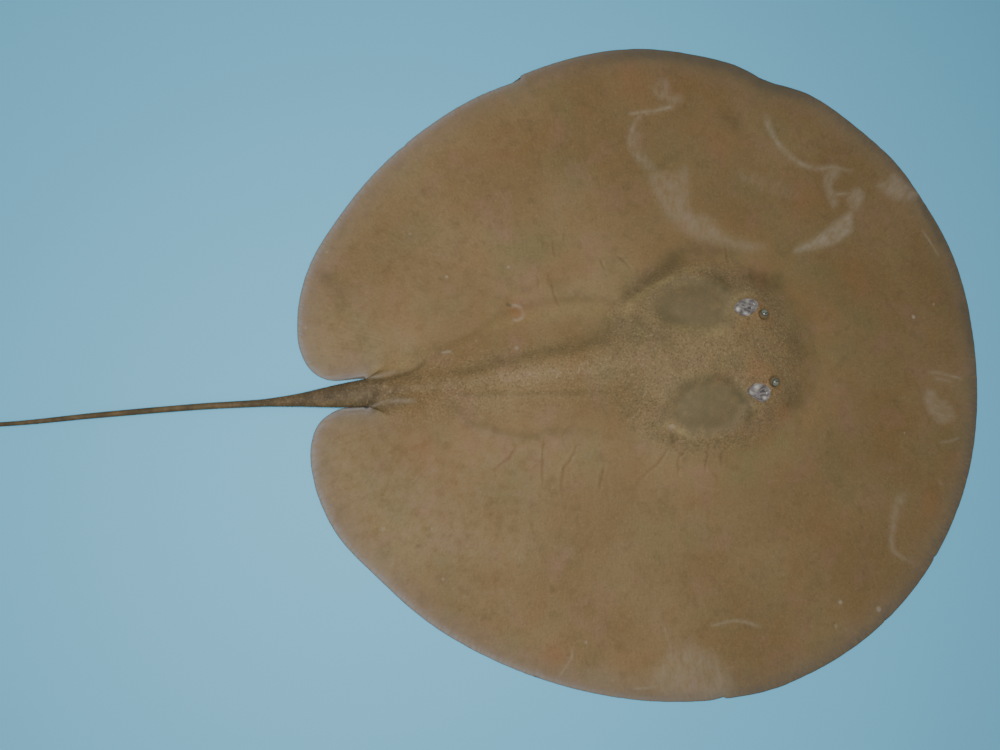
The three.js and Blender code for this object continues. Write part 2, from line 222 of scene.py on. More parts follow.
eye = {"x": 78.8, "y": 28.2, "sunk": 0.9, "lid": 4.6, "lidHeight": 0.6, "socket": 3}
spiracle = {
    "x": 65,
    "y": 35.5,
    "corners": {
        1: [(53.9, 34.6), (60.4, 41.6), (70.6, 41.6), (75.2, 37.4), (71.2, 31.4), (61.5, 28.2)],
        -1: [(53.8, 34.2), (60.6, 40.6), (68.3, 43.3), (73.8, 37), (71.6, 31.2), (61.8, 28)],
    },
    "pit": 4.6,
    "rim": 0.5,
}


def roundMargin(rib, side):
    turn = np.radians(rib)
    radius = disc["radius"] + sum(h * np.cos((k + 1) * turn) for k, h in enumerate(disc["waves"]))
    leftShare = smooth(-5, 5, rib * side)
    for dentSide, bearing, spread, depth in marginDents:
        share = leftShare if dentSide > 0 else 1 - leftShare
        radius = radius - depth * share * bell(rib - bearing, spread)
    return radius * np.cos(turn), radius * np.sin(turn)


def marginPoint(rib, side):
    x, y = roundMargin(np.minimum(rib, disc["roundEnd"]), side)
    turn = np.clip((rib - disc["roundEnd"]) / (disc["lobeEnd"] - disc["roundEnd"]), 0, 1) * math.pi / 2
    back = np.clip(np.cos(turn), 0, 1) ** disc["lobeSquareness"]
    inward = np.sin(turn) ** disc["lobeSquareness"]
    closing = np.clip((rib - disc["lobeEnd"]) / (disc["notch"] - disc["lobeEnd"]), 0, 1)
    lobe = mix(disc["lobeX"], x, back) + (disc["notchX"] - disc["lobeX"]) * closing
    left, right = disc["notchY"]
    notchY = np.where(np.asarray(side) < 0, right, left)
    return np.where(rib > disc["roundEnd"], lobe, x), mix(y, notchY, inward)


def wallPoint(rib):
    front = wall["middleX"] + wall["reachX"] * np.cos(np.radians(rib))
    share = (rib - wall["headEnd"]) / (disc["notch"] - wall["headEnd"])
    back = mix(wall["middleX"], tail["rootX"], share)
    return np.where(rib <= wall["headEnd"], front, back), through(wall["halfWidth"], rib)


def discPlan(rib, place, side, inset=0):
    # where a rib's place lies in plan, with the margin drawn in by some mm
    wallX, wallY = wallPoint(rib)
    marginX, marginY = marginPoint(rib, side)
    length = np.hypot(marginX - wallX, marginY - wallY)
    outer = np.clip(place - 1, 0, 1) * (1 - inset / np.maximum(length, 2))
    inner = np.clip(place, 0, 1)
    x = mix(spine["scale"] * wallX + spine["offset"], wallX, inner) + (marginX - wallX) * outer
    y = side * (wallY * inner + (marginY - wallY) * outer)
    sway = tail["rootShift"] * smooth(-190, -249, x) * (1 - smooth(20, 60, np.abs(y)))
    return x, y + sway + disc["tuck"][0] * tucked(x, y)


def tucked(x, y):
    # where the right lobe leans against the tail
    return smooth(-282, -268, x) * (1 - smooth(-254.5, -250.5, x)) * (1 - smooth(12, 24, -y)) * (y < 0)


def backRelief(x, y):
    across = np.abs(y)
    hollowX, hollowY, length, width, depth = relief["hollow"]
    hollow = np.hypot((x - hollowX) / length, (across - hollowY) / width)
    ridge = relief["ridgeHeight"] * smooth(-250, -190, x) * (1 - smooth(-60, 0, x))
    orbitX, orbitY, spread, height = relief["orbit"]
    return (
        -depth * (1 - smooth(0.62, 1.1, hollow))
        + ridge * bell(y, through(relief["ridgeHalfWidth"], x))
        + height * bell(np.hypot(x - orbitX, across - orbitY), spread)
    )


def loftHeight(rib, place, x):
    wallX, _ = wallPoint(rib)
    edge = through(wall["height"], wallX)
    crest = through(spine["height"], spine["scale"] * wallX + spine["offset"])
    inner = np.clip(place, 0, 1)
    domed = 0.5 + 0.5 * np.cos(math.pi * inner)
    flatTopped = mix(domed, 1 - smooth(0.52, 1, inner), smooth(*relief["plateau"], x))
    form = mix(np.sqrt(1 - inner**2), flatTopped, smooth(tail["rootX"], -215, x))
    fin = mix(disc["marginThickness"], edge, np.clip(2 - place, 0, 1) ** disc["finTaper"])
    return np.where(place > 1, fin, mix(edge, crest, form))


def topHeight(rib, place, x, y, side):
    # the loft, averaged a little way along the rib so that the body wall leaves no line, and the forms on it
    wallX, wallY = wallPoint(rib)
    marginX, marginY = marginPoint(rib, side)
    inner = np.maximum(np.hypot((1 - spine["scale"]) * wallX - spine["offset"], wallY), 1)
    outer = np.maximum(np.hypot(marginX - wallX, marginY - wallY), 1)
    at = np.where(place < 1, place * inner, inner + (place - 1) * outer)
    reach = np.minimum(np.minimum(relief["softened"], 0.8 * inner), np.maximum(inner + outer - at, 0))
    reach = reach * smooth(-247, -205, wallX)
    total = 0
    shifts = np.linspace(-1, 1, 7)
    for shift in shifts:
        there = np.abs(at + shift * reach)
        moved = np.where(there < inner, there / inner, 1 + (there - inner) / outer)
        total = total + loftHeight(rib, np.minimum(moved, 2), x)
    return total / len(shifts) + backRelief(x, y) * (1 - smooth(1, 1.9, place))


def bottomHeight(place):
    out = (place - 1) / disc["footBand"]
    return np.where((out > 0) & (out < 1), disc["arch"] * np.sin(math.pi * np.clip(out, 0, 1)) ** 2, 0)


def headTop(x, y):
    # the height of the back over one point of the head
    rib, place = [a.ravel() for a in np.meshgrid(np.arange(0, 91, 0.5), np.arange(0, 1.001, 0.01))]
    left = np.ones_like(rib)
    netX, netY = discPlan(rib, place, left)
    nearest = np.argmin(np.hypot(netX - x, netY - y))
    return float(topHeight(rib, place, netX, netY, left)[nearest])


# What marks the skin. Lines and outlines are given by their points in plan, in mm.
creases = {  # small folds beside the body wall: half width, depth
    "size": (0.8, 0.34),
    "lines": [
        [(-33, 92), (-28, 88), (-22, 78)], [(-15, -69), (-17, -76), (-30, -87), (-44, -97)],
        [(2, -72), (-5, -80), (-8, -95)], [(18, -75), (17, -84), (15, -96)],
        [(-92, -51), (-90, -62), (-96, -71), (-102, -78), (-104, -88), (-104, -101)],
        [(-114, -49), (-118, -70), (-120, -92)], [(-138, -51), (-140, -60), (-151, -67), (-160, -74)],
        [(-91, 79), (-91, 65), (-88, 51)], [(-84, 112), (-85, 103), (-84, 96)], [(-92, 112), (-94, 104)],
        [(-93, 84), (-94, 73)], [(-72, 121), (-76, 109)], [(-102, 82), (-103, 71)], [(64, 94), (62, 83),
         (61, 75)],
        [(-68, -78), (-72, -88), (-74, -97)], [(30, -80), (30, -91)], [(-48, 92), (-45, 82)],
    ],
}
folds = [  # long soft hollows along the body: points, half width at the start and end, depth, and the darkness painted along the hollow, mostly painted shade and in places darker skin
    ([(-216, 12), (-184, 31), (-163, 39), (-147, 48), (-125, 56), (-108, 59), (-87, 61), (-66, 59),
     (-45, 55)],
     (3, 4), 0.5, 0.2),
    ([(-186, -15), (-178, -26), (-171, -34), (-158, -39), (-142, -46), (-126, -49), (-110, -48), (-88, -50)],
     (3, 5), 0.55, 0.34),
    ([(-190, 7), (-168, 9), (-147, 13), (-131, 14), (-106, 17), (-86, 19), (-64, 23), (-45, 30)], (5, 8),
     1.1, 0.45),
    ([(-185, -9), (-134, -15), (-92, -19), (-55, -24)], (1.6, 2), 0.4, 0.3),
    ([(-34, 54), (-23, 61), (-9, 70), (6, 79), (18, 87), (30, 93)], (7, 9), 1.5, 0.62),
    ([(-264, 10), (-247, 10), (-230, 11), (-214, 14), (-200, 22)], (1.5, 2.6), 0.7, 0.42),
    ([(-268, -9), (-257, -9.5), (-247, -8.5)], (1.1, 1.1), 0.2, 0.6),
]
scrapesAndGlints = [  # healed scrapes, and two painted highlights along the tail root: points, half width at the start and end, strength, 1 when streaky
    ([(1, 219), (12, 220), (26, 221), (42, 224)], (1.1, 1.8), 0.6, 0.3),
    ([(12, 218), (5, 211), (-2, 197), (-2, 184), (8, 172)], (1.4, 3), 0.32, 0.6),
    ([(42, 166), (40, 149), (36, 118)], (1.1, 0.9), 0.3, 0.2),
    ([(129, 211), (130, 199), (136, 183), (149, 167), (159, 162), (172, 159), (185, 160), (203, 156)],
     (3.2, 2), 0.5, 0.4),
    ([(182, 134), (197, 135)], (1.6, 1.8), 0.5, 0.3),
    ([(265, 97), (270, 87), (277, 72)], (1, 1), 0.4, 0.2),
    ([(244, -32), (258, -35), (277, -41)], (2, 1.2), 0.42, 0.4),
    ([(249, -38), (267, -43)], (1.8, 1.4), 0.35, 0.4),
    ([(244, -95), (254, -95), (265, -93)], (1.2, 1), 0.3, 0.3),
    ([(199, -136), (191, -145), (184, -161), (181, -176), (184, -184), (198, -194)], (4.6, 1.4), 0.36, 0.5),
    ([(236, -127), (241, -133)], (1, 1), 0.3, 0.3),
    ([(7, -219), (16, -218), (28, -218), (39, -221), (49, -226)], (1, 1.2), 0.36, 0.2),
    ([(-65, -258), (-47, -260), (-40, -256)], (1, 1), 0.4, 0.2),
    ([(-33, -214), (-29, -236)], (1.4, 1), 0.25, 0.5),
    ([(-124, -239), (-113, -227), (-111, -219)], (1.2, 1), 0.3, 0.5),
    ([(92, 159), (101, 151), (113, 146)], (1.6, 1.2), 0.22, 0.7),
    ([(72, 95), (83, 92), (92, 87)], (1.2, 1), 0.3, 0.3),
    # painted highlights: wet glints along the tail root's notches, above and below
    ([(-262, 13.6), (-250, 13), (-238, 13), (-226, 15)], (0.9, 1.8), 0.5, 0.3),
    ([(-251, -11), (-245, -10), (-237, -8), (-227, -8.5), (-215, -10)], (1, 2), 0.45, 0.3),
    ([(-188, 26), (-181, 26)], (1.3, 1.3), 0.45, 0),
]
patches = [  # paler areas: outline, softness, strength, 1 when streaky
    ([(10, 162), (31, 160), (43, 165), (39, 140), (38, 128), (56, 117), (69, 99), (102, 90), (92, 87),
     (69, 91),
      (40, 101), (24, 115), (12, 136)], 6, 0.34, 0.3),
    ([(-6, 193), (-1, 203), (8, 200), (5, 188), (14, 170), (6, 166), (-2, 178)], 4, 0.25, 0.7),
    ([(27, 242), (36, 250), (42, 247), (41, 235), (52, 235), (50, 227), (37, 228), (28, 236)], 3, 0.3, 0.7),
    ([(172, 149), (180, 158), (189, 162), (193, 156), (185, 147), (180, 143), (183, 129), (177, 121),
     (173, 132)],
     3, 0.38, 0.5),
    ([(197, 135), (206, 139), (211, 136), (209, 128), (203, 121), (196, 119), (192, 128)], 3, 0.5, 0.4),
    ([(127, 84), (155, 97), (178, 110), (194, 118), (193, 109), (191, 100), (180, 93), (166, 88), (149, 85)],
     3.5, 0.58, 0.35),
    ([(226, 141), (239, 145), (247, 151), (261, 138), (267, 129), (247, 126), (236, 131)], 4, 0.44, 0.5),
    ([(238, -49), (247, -49), (248, -57), (256, -60), (264, -69), (260, -78), (246, -78), (238, -69),
     (235, -59)],
     3, 0.36, 0.5),
    ([(-50, -255), (-40, -243), (-29, -234), (-14, -232), (1, -238), (12, -251), (18, -268), (10, -276),
      (-14, -274), (-36, -269)], 8, 0.34, 0.45),
    ([(-113, -228), (-121, -238), (-106, -245), (-86, -236), (-76, -244), (-86, -253),
     (-112, -243)], 8, 0.14, 0.4),
    ([(91, 160), (119, 152), (148, 138), (135, 133), (110, 141), (93, 151)], 6, 0.15, 0.9),
]
specks = [  # pale ones, two of them painted highlights: x, y, radius, strength
    (238, 18, 2, 0.9), (262, 28, 1.2, 0.5), (209, -83, 1.2, 0.4), (-130, 22, 1.8, 0.6), (-12, -55, 2.4, 0.6),
    (-269, 118, 1.4, 0.5), (-125, 91, 1.5, 0.5), (-176, 88, 1.4, 0.5), (-292, 58, 1.2, 0.5),
    (-160, 32, 1.2, 0.4),
    (-201, 127, 1.2, 0.4), (-249, -106, 1.6, 0.5), (-211, -111, 1.4, 0.5), (-207, -151, 1.3, 0.4),
    # the first two here are painted highlights, glints of wet skin on the lower fin
    (-99, -216, 1.5, 0.6), (-81, -249, 1.4, 0.5), (125, -217, 2, 0.7), (160, -228, 2.6, 0.6),
    (118, -236, 1.8, 0.5),
]
shades = [  # darker, greener places, partly the skin's own dark patches and spots, partly painted shade on flanks facing from the light: points, half width at the start and end, strength
    ([(18, 88), (45, 92), (72, 87)], (8, 9), 0.35), ([(40, 61), (48, 58), (52, 50)], (7, 6), 0.75),
    ([(24, -17), (36, -22), (44, -32), (51, -42), (53, -52), (48, -58)], (2, 4.5), 0.75),
    ([(76, 62), (92, 60), (107, 54)], (9, 10), 0.6), ([(93, -44), (101, -46), (106, -44)], (10, 10), 0.5),
    ([(106, 10), (112, -2), (110, -10)], (13, 11), 0.4), ([(-10, 38), (10, 28)], (6, 4), 0.3),
    ([(-12, -60), (-11, -65), (-13, -70)], (3.5, 2.5), 0.6), ([(-274, 100), (-264, 88),
     (-262, 78)], (7, 7), 0.35),
    ([(-36, 30), (-20, 22), (-8, 8)], (11, 11), 0.25), ([(-127, 58), (-131, 60)], (1.5, 1.5), 0.9),
    ([(88, 214), (100, 200)], (9, 7), 0.3),
    ([(269, 123), (277, 102), (284, 83)], (4, 5), 0.6), ([(289, 26), (294, 13), (294, -14)], (6, 6), 0.5),
    ([(71, 243), (72, 243)], (1.2, 1.2), 0.9), ([(95, 221), (97, 220)], (1.4, 1.4), 0.8),
    ([(75, 212), (77, 212)], (1.2, 1.2), 0.8), ([(-89, 209), (-88, 209)], (1.6, 1.6), 0.7),
    ([(-38, 259), (-37, 259)], (1.6, 1.6), 0.7), ([(-213, -116), (-212, -116)], (1.8, 1.8), 0.6),
    ([(-224, -123), (-222, -123)], (1.8, 1.8), 0.6), ([(-286, -84), (-284, -84)], (2, 2), 0.6),
    ([(-167, 57), (-166, 57)], (1.5, 1.5), 0.7), ([(-180, 86), (-181, 86)], (1.3, 1.3), 0.6),
]
glows = [  # yellower, paler places along rims and the tail root, partly pale skin, partly painted highlight where the rims catch the light: points, half width at the start and end, strength
    ([(-36, 42), (-30, 50), (-20, 56), (-9, 62), (2, 66), (12, 70)], (3, 2.4), 0.95),
    ([(12, 70), (24, 73), (40, 73)], (2.4, 2.6), 0.4), ([(-18, -52), (-8, -57), (4, -66)], (4, 3), 0.6),
    ([(46, 31), (52, 40), (62, 47), (76, 46)], (3, 3), 0.45), ([(-4, 24), (10, 22), (26, 19),
     (42, 20)], (4, 5), 0.7),
    ([(-252, 16), (-235, 18), (-214, 22)], (4, 6), 0.35), ([(-150, 42), (-120, 45), (-80, 48),
     (-50, 44)], (8, 8), 0.3),
]
warmPlaces = [  # redder places: x, y, radius, strength
    (87, -51, 8, 0.9), (88, 58, 8, 0.6), (-214, -49, 13, 0.7), (-181, -44, 11, 0.6),
    (60, 205, 20, 0.5), (150, 128, 16, 0.6), (-60, -226, 18, 0.5), (66, -16, 12, 0.6), (66, 18, 9, 0.4),
    (-125, 53, 9, 0.95), (-207, 60, 26, 0.5), (-182, -60, 24, 0.4), (30, -22, 6, 0.5), (-128, -222, 12, 0.8),
    (-70, -240, 13, 0.7), (-26, -262, 10, 0.5), (228, -148, 12, 0.6), (252, -112, 12, 0.7),
    (84, 190, 16, 0.7),
    (8, 246, 20, 0.7), (56, 236, 16, 0.5), (-112, 196, 24, 0.4), (190, 60, 20, 0.4), (120, -150, 24, 0.3),
]
ringScar = {"x": -125, "y": 52.5, "radius": 6.2, "width": 1.6, "height": 0.5, "open": (115, 235)}
nicks = [  # notches in the margin: side, bearing, half widths before and behind it in degrees, depth
    (1, 109.3, 0.15, 7, 3.2), (1, 62, 0.5, 0.5, 1.2), (-1, 87.8, 0.3, 1.2, 1.6), (-1, 55, 0.35, 0.5, 1.4),
    (-1, 41, 0.35, 0.35, 1.0), (1, 134, 0.4, 0.4, 0.9), (-1, 121, 0.35, 0.35, 0.9), (1, 28, 0.3, 0.3, 0.9),
]
underside = {
    "mouthX": 100,
    "mouthHalf": 19,
    "curtain": 15,
    "chin": 11,
    "nostril": (110.5, 19.5, 3.0, 2.0, 2.3),  # x, y, half length, half width, depth
    "firstSlit": (64, 50, 13),  # x, y, length
    "lastSlit": (-4, 33, 9),
    "slits": 5,
    "slitBow": 2.5,
    "vent": (-188, 14, 1.0, 1.7),  # x, length, half width, depth
}
pelvicFin = {"x": -194, "root": 17, "halfLength": 36, "reach": 52, "sweep": 14}
spiracleLoops = {side: curveThrough(corners, closed=True) for side, corners in spiracle["corners"].items()}
creaseCurves = [curveThrough(line) for line in creases["lines"]]
bothSides = {"left": 1, "right": -1}
farAway = 99.0


def mouthLines():
    # the grooves of the underside: path, half width, depth
    half = underside["mouthHalf"]
    lines = []
    turns = np.radians(np.linspace(0, 180, 13))
    lipsAndHighlights = [(underside["mouthX"] - 1.6 * math.cos(y / half * 4.4), y) for y in np.linspace(-half, half, 13)]
    lines.append((np.array(lipsAndHighlights), 1.1, 2.4))
    curtain = [
        (underside["mouthX"] + underside["curtain"] * math.sin(t), half * math.cos(t)) for t in turns
    ]
    lines.append((np.array(curtain), 0.7, 0.7))
    for share in (0.55, 1):
        chin = [
            (underside["mouthX"] - 2 - underside["chin"] * share * math.sin(t), half * 0.94 * math.cos(t))
            for t in turns
        ]
        lines.append((np.array(chin), 0.8, 0.55))
    return lines


def gillLines():
    lines = []
    for k in range(underside["slits"]):
        share = k / (underside["slits"] - 1)
        x, y, length = mix(np.array(underside["firstSlit"]), np.array(underside["lastSlit"]), share)
        across = np.linspace(-0.5, 0.5, 7)
        for side in (1, -1):
            points = [(x - underside["slitBow"] * 4 * t * t, side * (y + t * length)) for t in across]
            lines.append((np.array(points), 0.8, 1.7))
    return lines


def pelvicLines():
    lines = []
    turns = np.radians(np.linspace(10, 170, 25))
    for side in (1, -1):
        edge = [
            (
                pelvicFin["x"] + pelvicFin["halfLength"] * math.cos(t) - pelvicFin["sweep"] * math.sin(t),
                side * (pelvicFin["root"] + pelvicFin["reach"] * math.sin(t)),
            )
            for t in turns
        ]
        lines.append((np.array(edge), 0.8, 0.9))
    ventX, length, halfWidth, depth = underside["vent"]
    lines.append((np.array([(ventX - length / 2, 0), (ventX + length / 2, 0)], float), halfWidth, depth))
    return lines


mouthGrooves = mouthLines()
underGrooves = gillLines() + pelvicLines()

skin = {
    "coatDepth": 0.25,  # the skin lies this far inside the part
    "marginInset": 0.3,
    "marginRound": 1.7,  # how far in from the margin its edge is rounded
    "edgeHeights": (0.8, 0.5),  # where the back and the underside end at the very edge
    "ribs": 210,
    "innerSteps": 34,
    "outerSteps": 46,
    "underRibs": 96,
    "underInner": 12,
    "underOuter": 16,
    "tailRings": 190,
    "tailSides": 20,
    "refineReach": (5.6, 2.6),  # mm round a mark that is divided once, and twice
}


def outerPlaces(rib, side, count, lastSteps):
    # places from the wall to the margin, closer together in the last few mm
    wallX, wallY = wallPoint(rib)
    marginX, marginY = marginPoint(rib, side)
    length = float(np.hypot(marginX - wallX, marginY - wallY))
    even = 1 + np.linspace(0, 0.955, count)
    shares = np.linspace(0.042, 0, len(lastSteps))
    last = [2 - min(reach / length, share) for reach, share in zip(lastSteps, shares)]
    return np.concatenate([even[1:], last])


class Net:
    # vertices with what they stand for, and faces between them
    def __init__(self):
        self.rib, self.place, self.side, self.kind = [], [], [], []
        self.spot, self.faces = [], []

    def add(self, rib, place, side, kind, spot=(0, 0, 0)):
        for values, value in zip((self.rib, self.place, self.side, self.kind), (rib, place, side, kind)):
            values.append(float(value))
        self.spot.append(spot)
        return len(self.rib) - 1

    def sheet(self, rows):
        for low, high in zip(rows[:-1], rows[1:]):
            for a, b, c, d in zip(low[:-1], low[1:], high[1:], high[:-1]):
                corners = list(dict.fromkeys((a, b, c, d)))
                if len(corners) > 2:
                    self.faces.append(corners)

    def strip(self, first, second, spots):
        # triangles between two chains that run side by side
        i = j = 0
        while i < len(first) - 1 or j < len(second) - 1:
            moreFirst, moreSecond = i < len(first) - 1, j < len(second) - 1
            if moreFirst and moreSecond:
                stepFirst = np.linalg.norm(spots[first[i + 1]] - spots[second[j]])
                stepSecond = np.linalg.norm(spots[first[i]] - spots[second[j + 1]])
                moreFirst = stepFirst <= stepSecond
            if moreFirst:
                self.faces.append([first[i], first[i + 1], second[j]])
                i += 1
            else:
                self.faces.append([first[i], second[j + 1], second[j]])
                j += 1


top, under, onTail = 0, 1, 2  # the kinds of skin


def halfSheets(net, ribs, innerPlaces, outerCount, lastSteps, kind):
    # one sheet of the disc: the ids by side and rib, sharing the spine and the front midline
    spineIds = [net.add(rib, 0, 0, kind) for rib in ribs]
    rows = {}
    for side in (1, -1):
        rows[side] = []
        for k, rib in enumerate(ribs):
            if k == 0 and side < 0:
                rows[side].append(rows[1][0])
                continue
            places = np.concatenate([innerPlaces[1:], outerPlaces(rib, side, outerCount, lastSteps)])
            rowSide = 0 if k == 0 else side
            rows[side].append([spineIds[k]] + [net.add(rib, p, rowSide, kind) for p in places])
        net.sheet(rows[side])
    return rows


def ribSteps(count, extra=()):
    # bearings of the ribs, with extra ones where the margin changes quickly
    even = np.linspace(0, disc["roundEnd"], count)
    step = even[1]
    ribs = [rib for rib in even if not any(abs(rib - e) < 0.3 * step for e in extra)]
    lobe = np.linspace(disc["roundEnd"], disc["lobeEnd"], max(8, count // 9) + 1)[1:]
    closing = np.linspace(disc["lobeEnd"], disc["notch"], 4)[1:]
    return np.array(sorted(ribs + list(extra)) + list(lobe) + list(closing))


def tailPoint(x, turn):
    half = through(tail["halfWidth"], x) - 0.15 * smooth(-420, -250, x)
    tall = through(tail["height"], x) - 0.2 * smooth(-420, -250, x)
    across = np.cos(turn)
    shift = tail["chevron"] * (1 - np.abs(across)) * smooth(tail["chevronEnd"], tail["rootX"], x)
    # the base is finely wrinkled round
    wrinkle = 0.16 * smooth(-335, -262, x) * np.array(
        [noise.noise((a / 2.6, math.cos(t) * 1.7, math.sin(t) * 1.7)) for a, t in zip(x, turn)]
    )
    middle = tall / 2 * tail["floorClip"]
    z = np.maximum(0, middle + (tall / 2 + wrinkle) * np.sin(turn))
    return np.stack([x + shift, through(tail["swing"], x) + (half + wrinkle) * across, z], 1)


def drawnIn(rib, side):
    # how far the skin's margin lies inside the part's, in mm, with its small nicks
    rough = np.array([noise.noise((r * 0.9, s * 3.1, 0.5)) for r, s in zip(rib, side)])
    fine = np.array([noise.noise((r * 3.3, s * 5.3, 2.5)) for r, s in zip(rib, side)])
    inset = skin["marginInset"] + 0.4 * np.clip(rough, 0, 1) + 0.25 * np.abs(fine)
    inset = inset * (1 - 0.6 * smooth(176, 182, rib))
    for nickSide, bearing, before, behind, depth in nicks:
        spread = np.where(rib < bearing, before, behind)
        inset = inset + np.where(side == nickSide, depth * bell(rib - bearing, spread), 0)
    return inset


def marginTree():
    # the margin as closely spaced points, to measure distances from
    rib = np.concatenate([np.linspace(0, 170, 3000), np.linspace(170, 182, 700)])
    points = []
    for side in (1, -1):
        sides = np.full(len(rib), float(side))
        points += list(zip(*discPlan(rib, np.full(len(rib), 2.0), sides, drawnIn(rib, sides))))
    tree = kdtree.KDTree(len(points))
    for k, (x, y) in enumerate(points):
        tree.insert((x, y, 0), k)
    tree.balance()
    return tree


marginNearest = marginTree()


def fromMargin(x, y):
    return np.array([marginNearest.find((a, b, 0))[2] for a, b in zip(x, y)])


def skinSpots(rib, place, side, kind, spot):
    # where every vertex of the skin lies, in mm
    onDisc = kind < 1.5
    places = np.array(spot, float)
    sign = np.where(side < 0, -1.0, np.where(side > 0, 1.0, 0.0))
    x, y = discPlan(rib, place, sign, drawnIn(rib, sign))
    inFrom = fromMargin(x, y)
    inFrom = np.where(place > 1.9999, 0, inFrom)
    edge = np.sqrt(1 - (1 - np.clip(inFrom / skin["marginRound"], 0, 1)) ** 2)
    high = topHeight(rib, place, x, y, sign) - skin["coatDepth"] + topDetail(x, y, place, inFrom)
    low = bottomHeight(place) + underDetail(x, y)
    highEdge, lowEdge = skin["edgeHeights"]
    z = np.where(kind > 0.5, mix(lowEdge, low, edge), mix(highEdge, high, edge))
    z = z + disc["tuck"][1] * tucked(x, y) * (1 - smooth(0, 6, inFrom))
    places[onDisc] = np.stack([x, y, np.maximum(z, 0)], 1)[onDisc]
    return places, inFrom


def spiracleDistance(x, y):
    # distance to the spiracle's outline on either side, negative inside it
    best = np.full(np.shape(x), farAway)
    for side, loop in spiracleLoops.items():
        distance, _ = toPath(x, side * y, loop)
        best = np.minimum(best, np.where(insideLoop(x, side * y, loop), -distance, distance))
    return best


def spiracleGap(x, y):
    # the same distance, worked out only near the spiracles
    near = (np.abs(x - spiracle["x"]) < 22) & (np.abs(np.abs(y) - spiracle["y"]) < 20)
    gap = np.full(np.shape(x), farAway)
    gap[near] = spiracleDistance(x[near], y[near])
    return gap


def eyeGap(x, y):
    # distance to the middle of the eye on the same side
    return np.hypot(x - eye["x"], np.abs(y) - eye["y"])


def ringShare(x, y):
    # the raised ring of an old bite, open on one side
    turn = np.degrees(np.arctan2(y - ringScar["y"], x - ringScar["x"])) % 360
    start, end = ringScar["open"]
    gone = smooth(start - 25, start + 10, turn) * (1 - smooth(end - 10, end + 25, turn))
    off = np.hypot(x - ringScar["x"], y - ringScar["y"]) - ringScar["radius"]
    return bell(off, ringScar["width"]) * (1 - gone)


def wavy(x, y):
    # points moved a little at random, so that a line through them wanders
    return x + 1.1 * cloudAt(x, y, 6, 4.4), y + 1.1 * cloudAt(x, y, 6, 8.4)


def topDetail(x, y, place, inFrom):
    # what stands up or sinks in on the back, in mm
    flesh = smooth(2, 30, inFrom)
    z = 0.5 * flesh * (cloudAt(x, y, 38, 1.5) - 0.6) + 0.18 * flesh * cloudAt(x, y, 11, 7.5)
    # lids: a soft ring round each eye, and the socket inside it
    eyeDistance = eyeGap(x, y)
    z += eye["lidHeight"] * bell(eyeDistance - eye["lid"] - 0.4, 1.1)
    z -= eye["socket"] * (1 - smooth(eye["lid"] - 1.9, eye["lid"] - 0.2, eyeDistance))
    gap = spiracleGap(x, y)
    z += spiracle["rim"] * bell(gap - 1.1, 1.1) - spiracle["pit"] * (1 - smooth(-1.7, 0.35, gap))
    halfWidth, depth = creases["size"]
    wavyX, wavyY = wavy(x, y)
    for curve in creaseCurves:
        distance, along = toPath(wavyX, wavyY, curve)
        fade = np.sin(math.pi * np.clip(along, 0, 1)) ** 0.7
        z -= depth * fade * bell(distance, halfWidth) - 0.28 * fade * bell(distance - 2.4, 1.1)
    for points, (start, end), depth, _ in folds:
        distance, along = toPath(x, y, curveThrough(points))
        fade = smooth(0, 0.15, along) * (1 - smooth(0.8, 1, along))
        z -= depth * fade * bell(distance, mix(start, end, along))
    return z + ringScar["height"] * ringShare(x, y)


def underDetail(x, y):
    z = np.zeros(np.shape(x))
    for path, halfWidth, depth in mouthGrooves + underGrooves:
        distance, along = toPath(x, y, path)
        fade = smooth(0, 0.08, along) * (1 - smooth(0.92, 1, along))
        z += depth * fade * bell(distance, halfWidth)
    nostrilX, nostrilY, halfLength, halfWidth, depth = underside["nostril"]
    out = np.hypot((x - nostrilX) / halfLength, (np.abs(y) - nostrilY) / halfWidth)
    return z + depth * (1 - smooth(0.55, 1.15, out))


def markDistance(spots, kind):
    # how far each vertex is from the nearest thing that needs small faces
    x, y = spots[:, 0], spots[:, 1]
    across = np.abs(y)
    best = np.full(len(x), 1e9)
    onTop = kind < 0.4
    onUnder = (kind > 0.6) & (kind < 1.4)
    head = np.minimum(
        np.hypot(x - eye["x"], across - eye["y"]) - 7, np.hypot(x - spiracle["x"], across - spiracle["y"]) - 9
    )
    best[onTop] = head[onTop]
    for curve in creaseCurves:
        distance, _ = toPath(x[onTop], y[onTop], curve)
        best[onTop] = np.minimum(best[onTop], distance)
    for points, (start, end), _, _ in scrapesAndGlints:
        distance, _ = toPath(x[onTop], y[onTop], curveThrough(points))
        best[onTop] = np.minimum(best[onTop], distance + min(start, end) / 2)
    for points, _, strength, _ in patches:
        distance, _ = toPath(x[onTop], y[onTop], curveThrough(points, closed=True))
        best[onTop] = np.minimum(best[onTop], distance + (3.4 if strength > 0.4 else 9))
    for spotX, spotY, radius, _ in specks:
        best[onTop] = np.minimum(best[onTop], np.hypot(x[onTop] - spotX, y[onTop] - spotY) - radius + 1)
    ring = np.hypot(x - ringScar["x"], y - ringScar["y"]) - ringScar["radius"] - 1
    best[onTop] = np.minimum(best[onTop], ring[onTop])
    for path, _, _ in mouthGrooves + underGrooves:
        distance, _ = toPath(x[onUnder], y[onUnder], path)
        best[onUnder] = np.minimum(best[onUnder], distance)
    nostrilX, nostrilY, halfLength = underside["nostril"][:3]
    hole = np.hypot(x - nostrilX, across - nostrilY) - halfLength
    best[onUnder] = np.minimum(best[onUnder], hole[onUnder])
    return best


layerNames = ("rib", "place", "side", "kind")


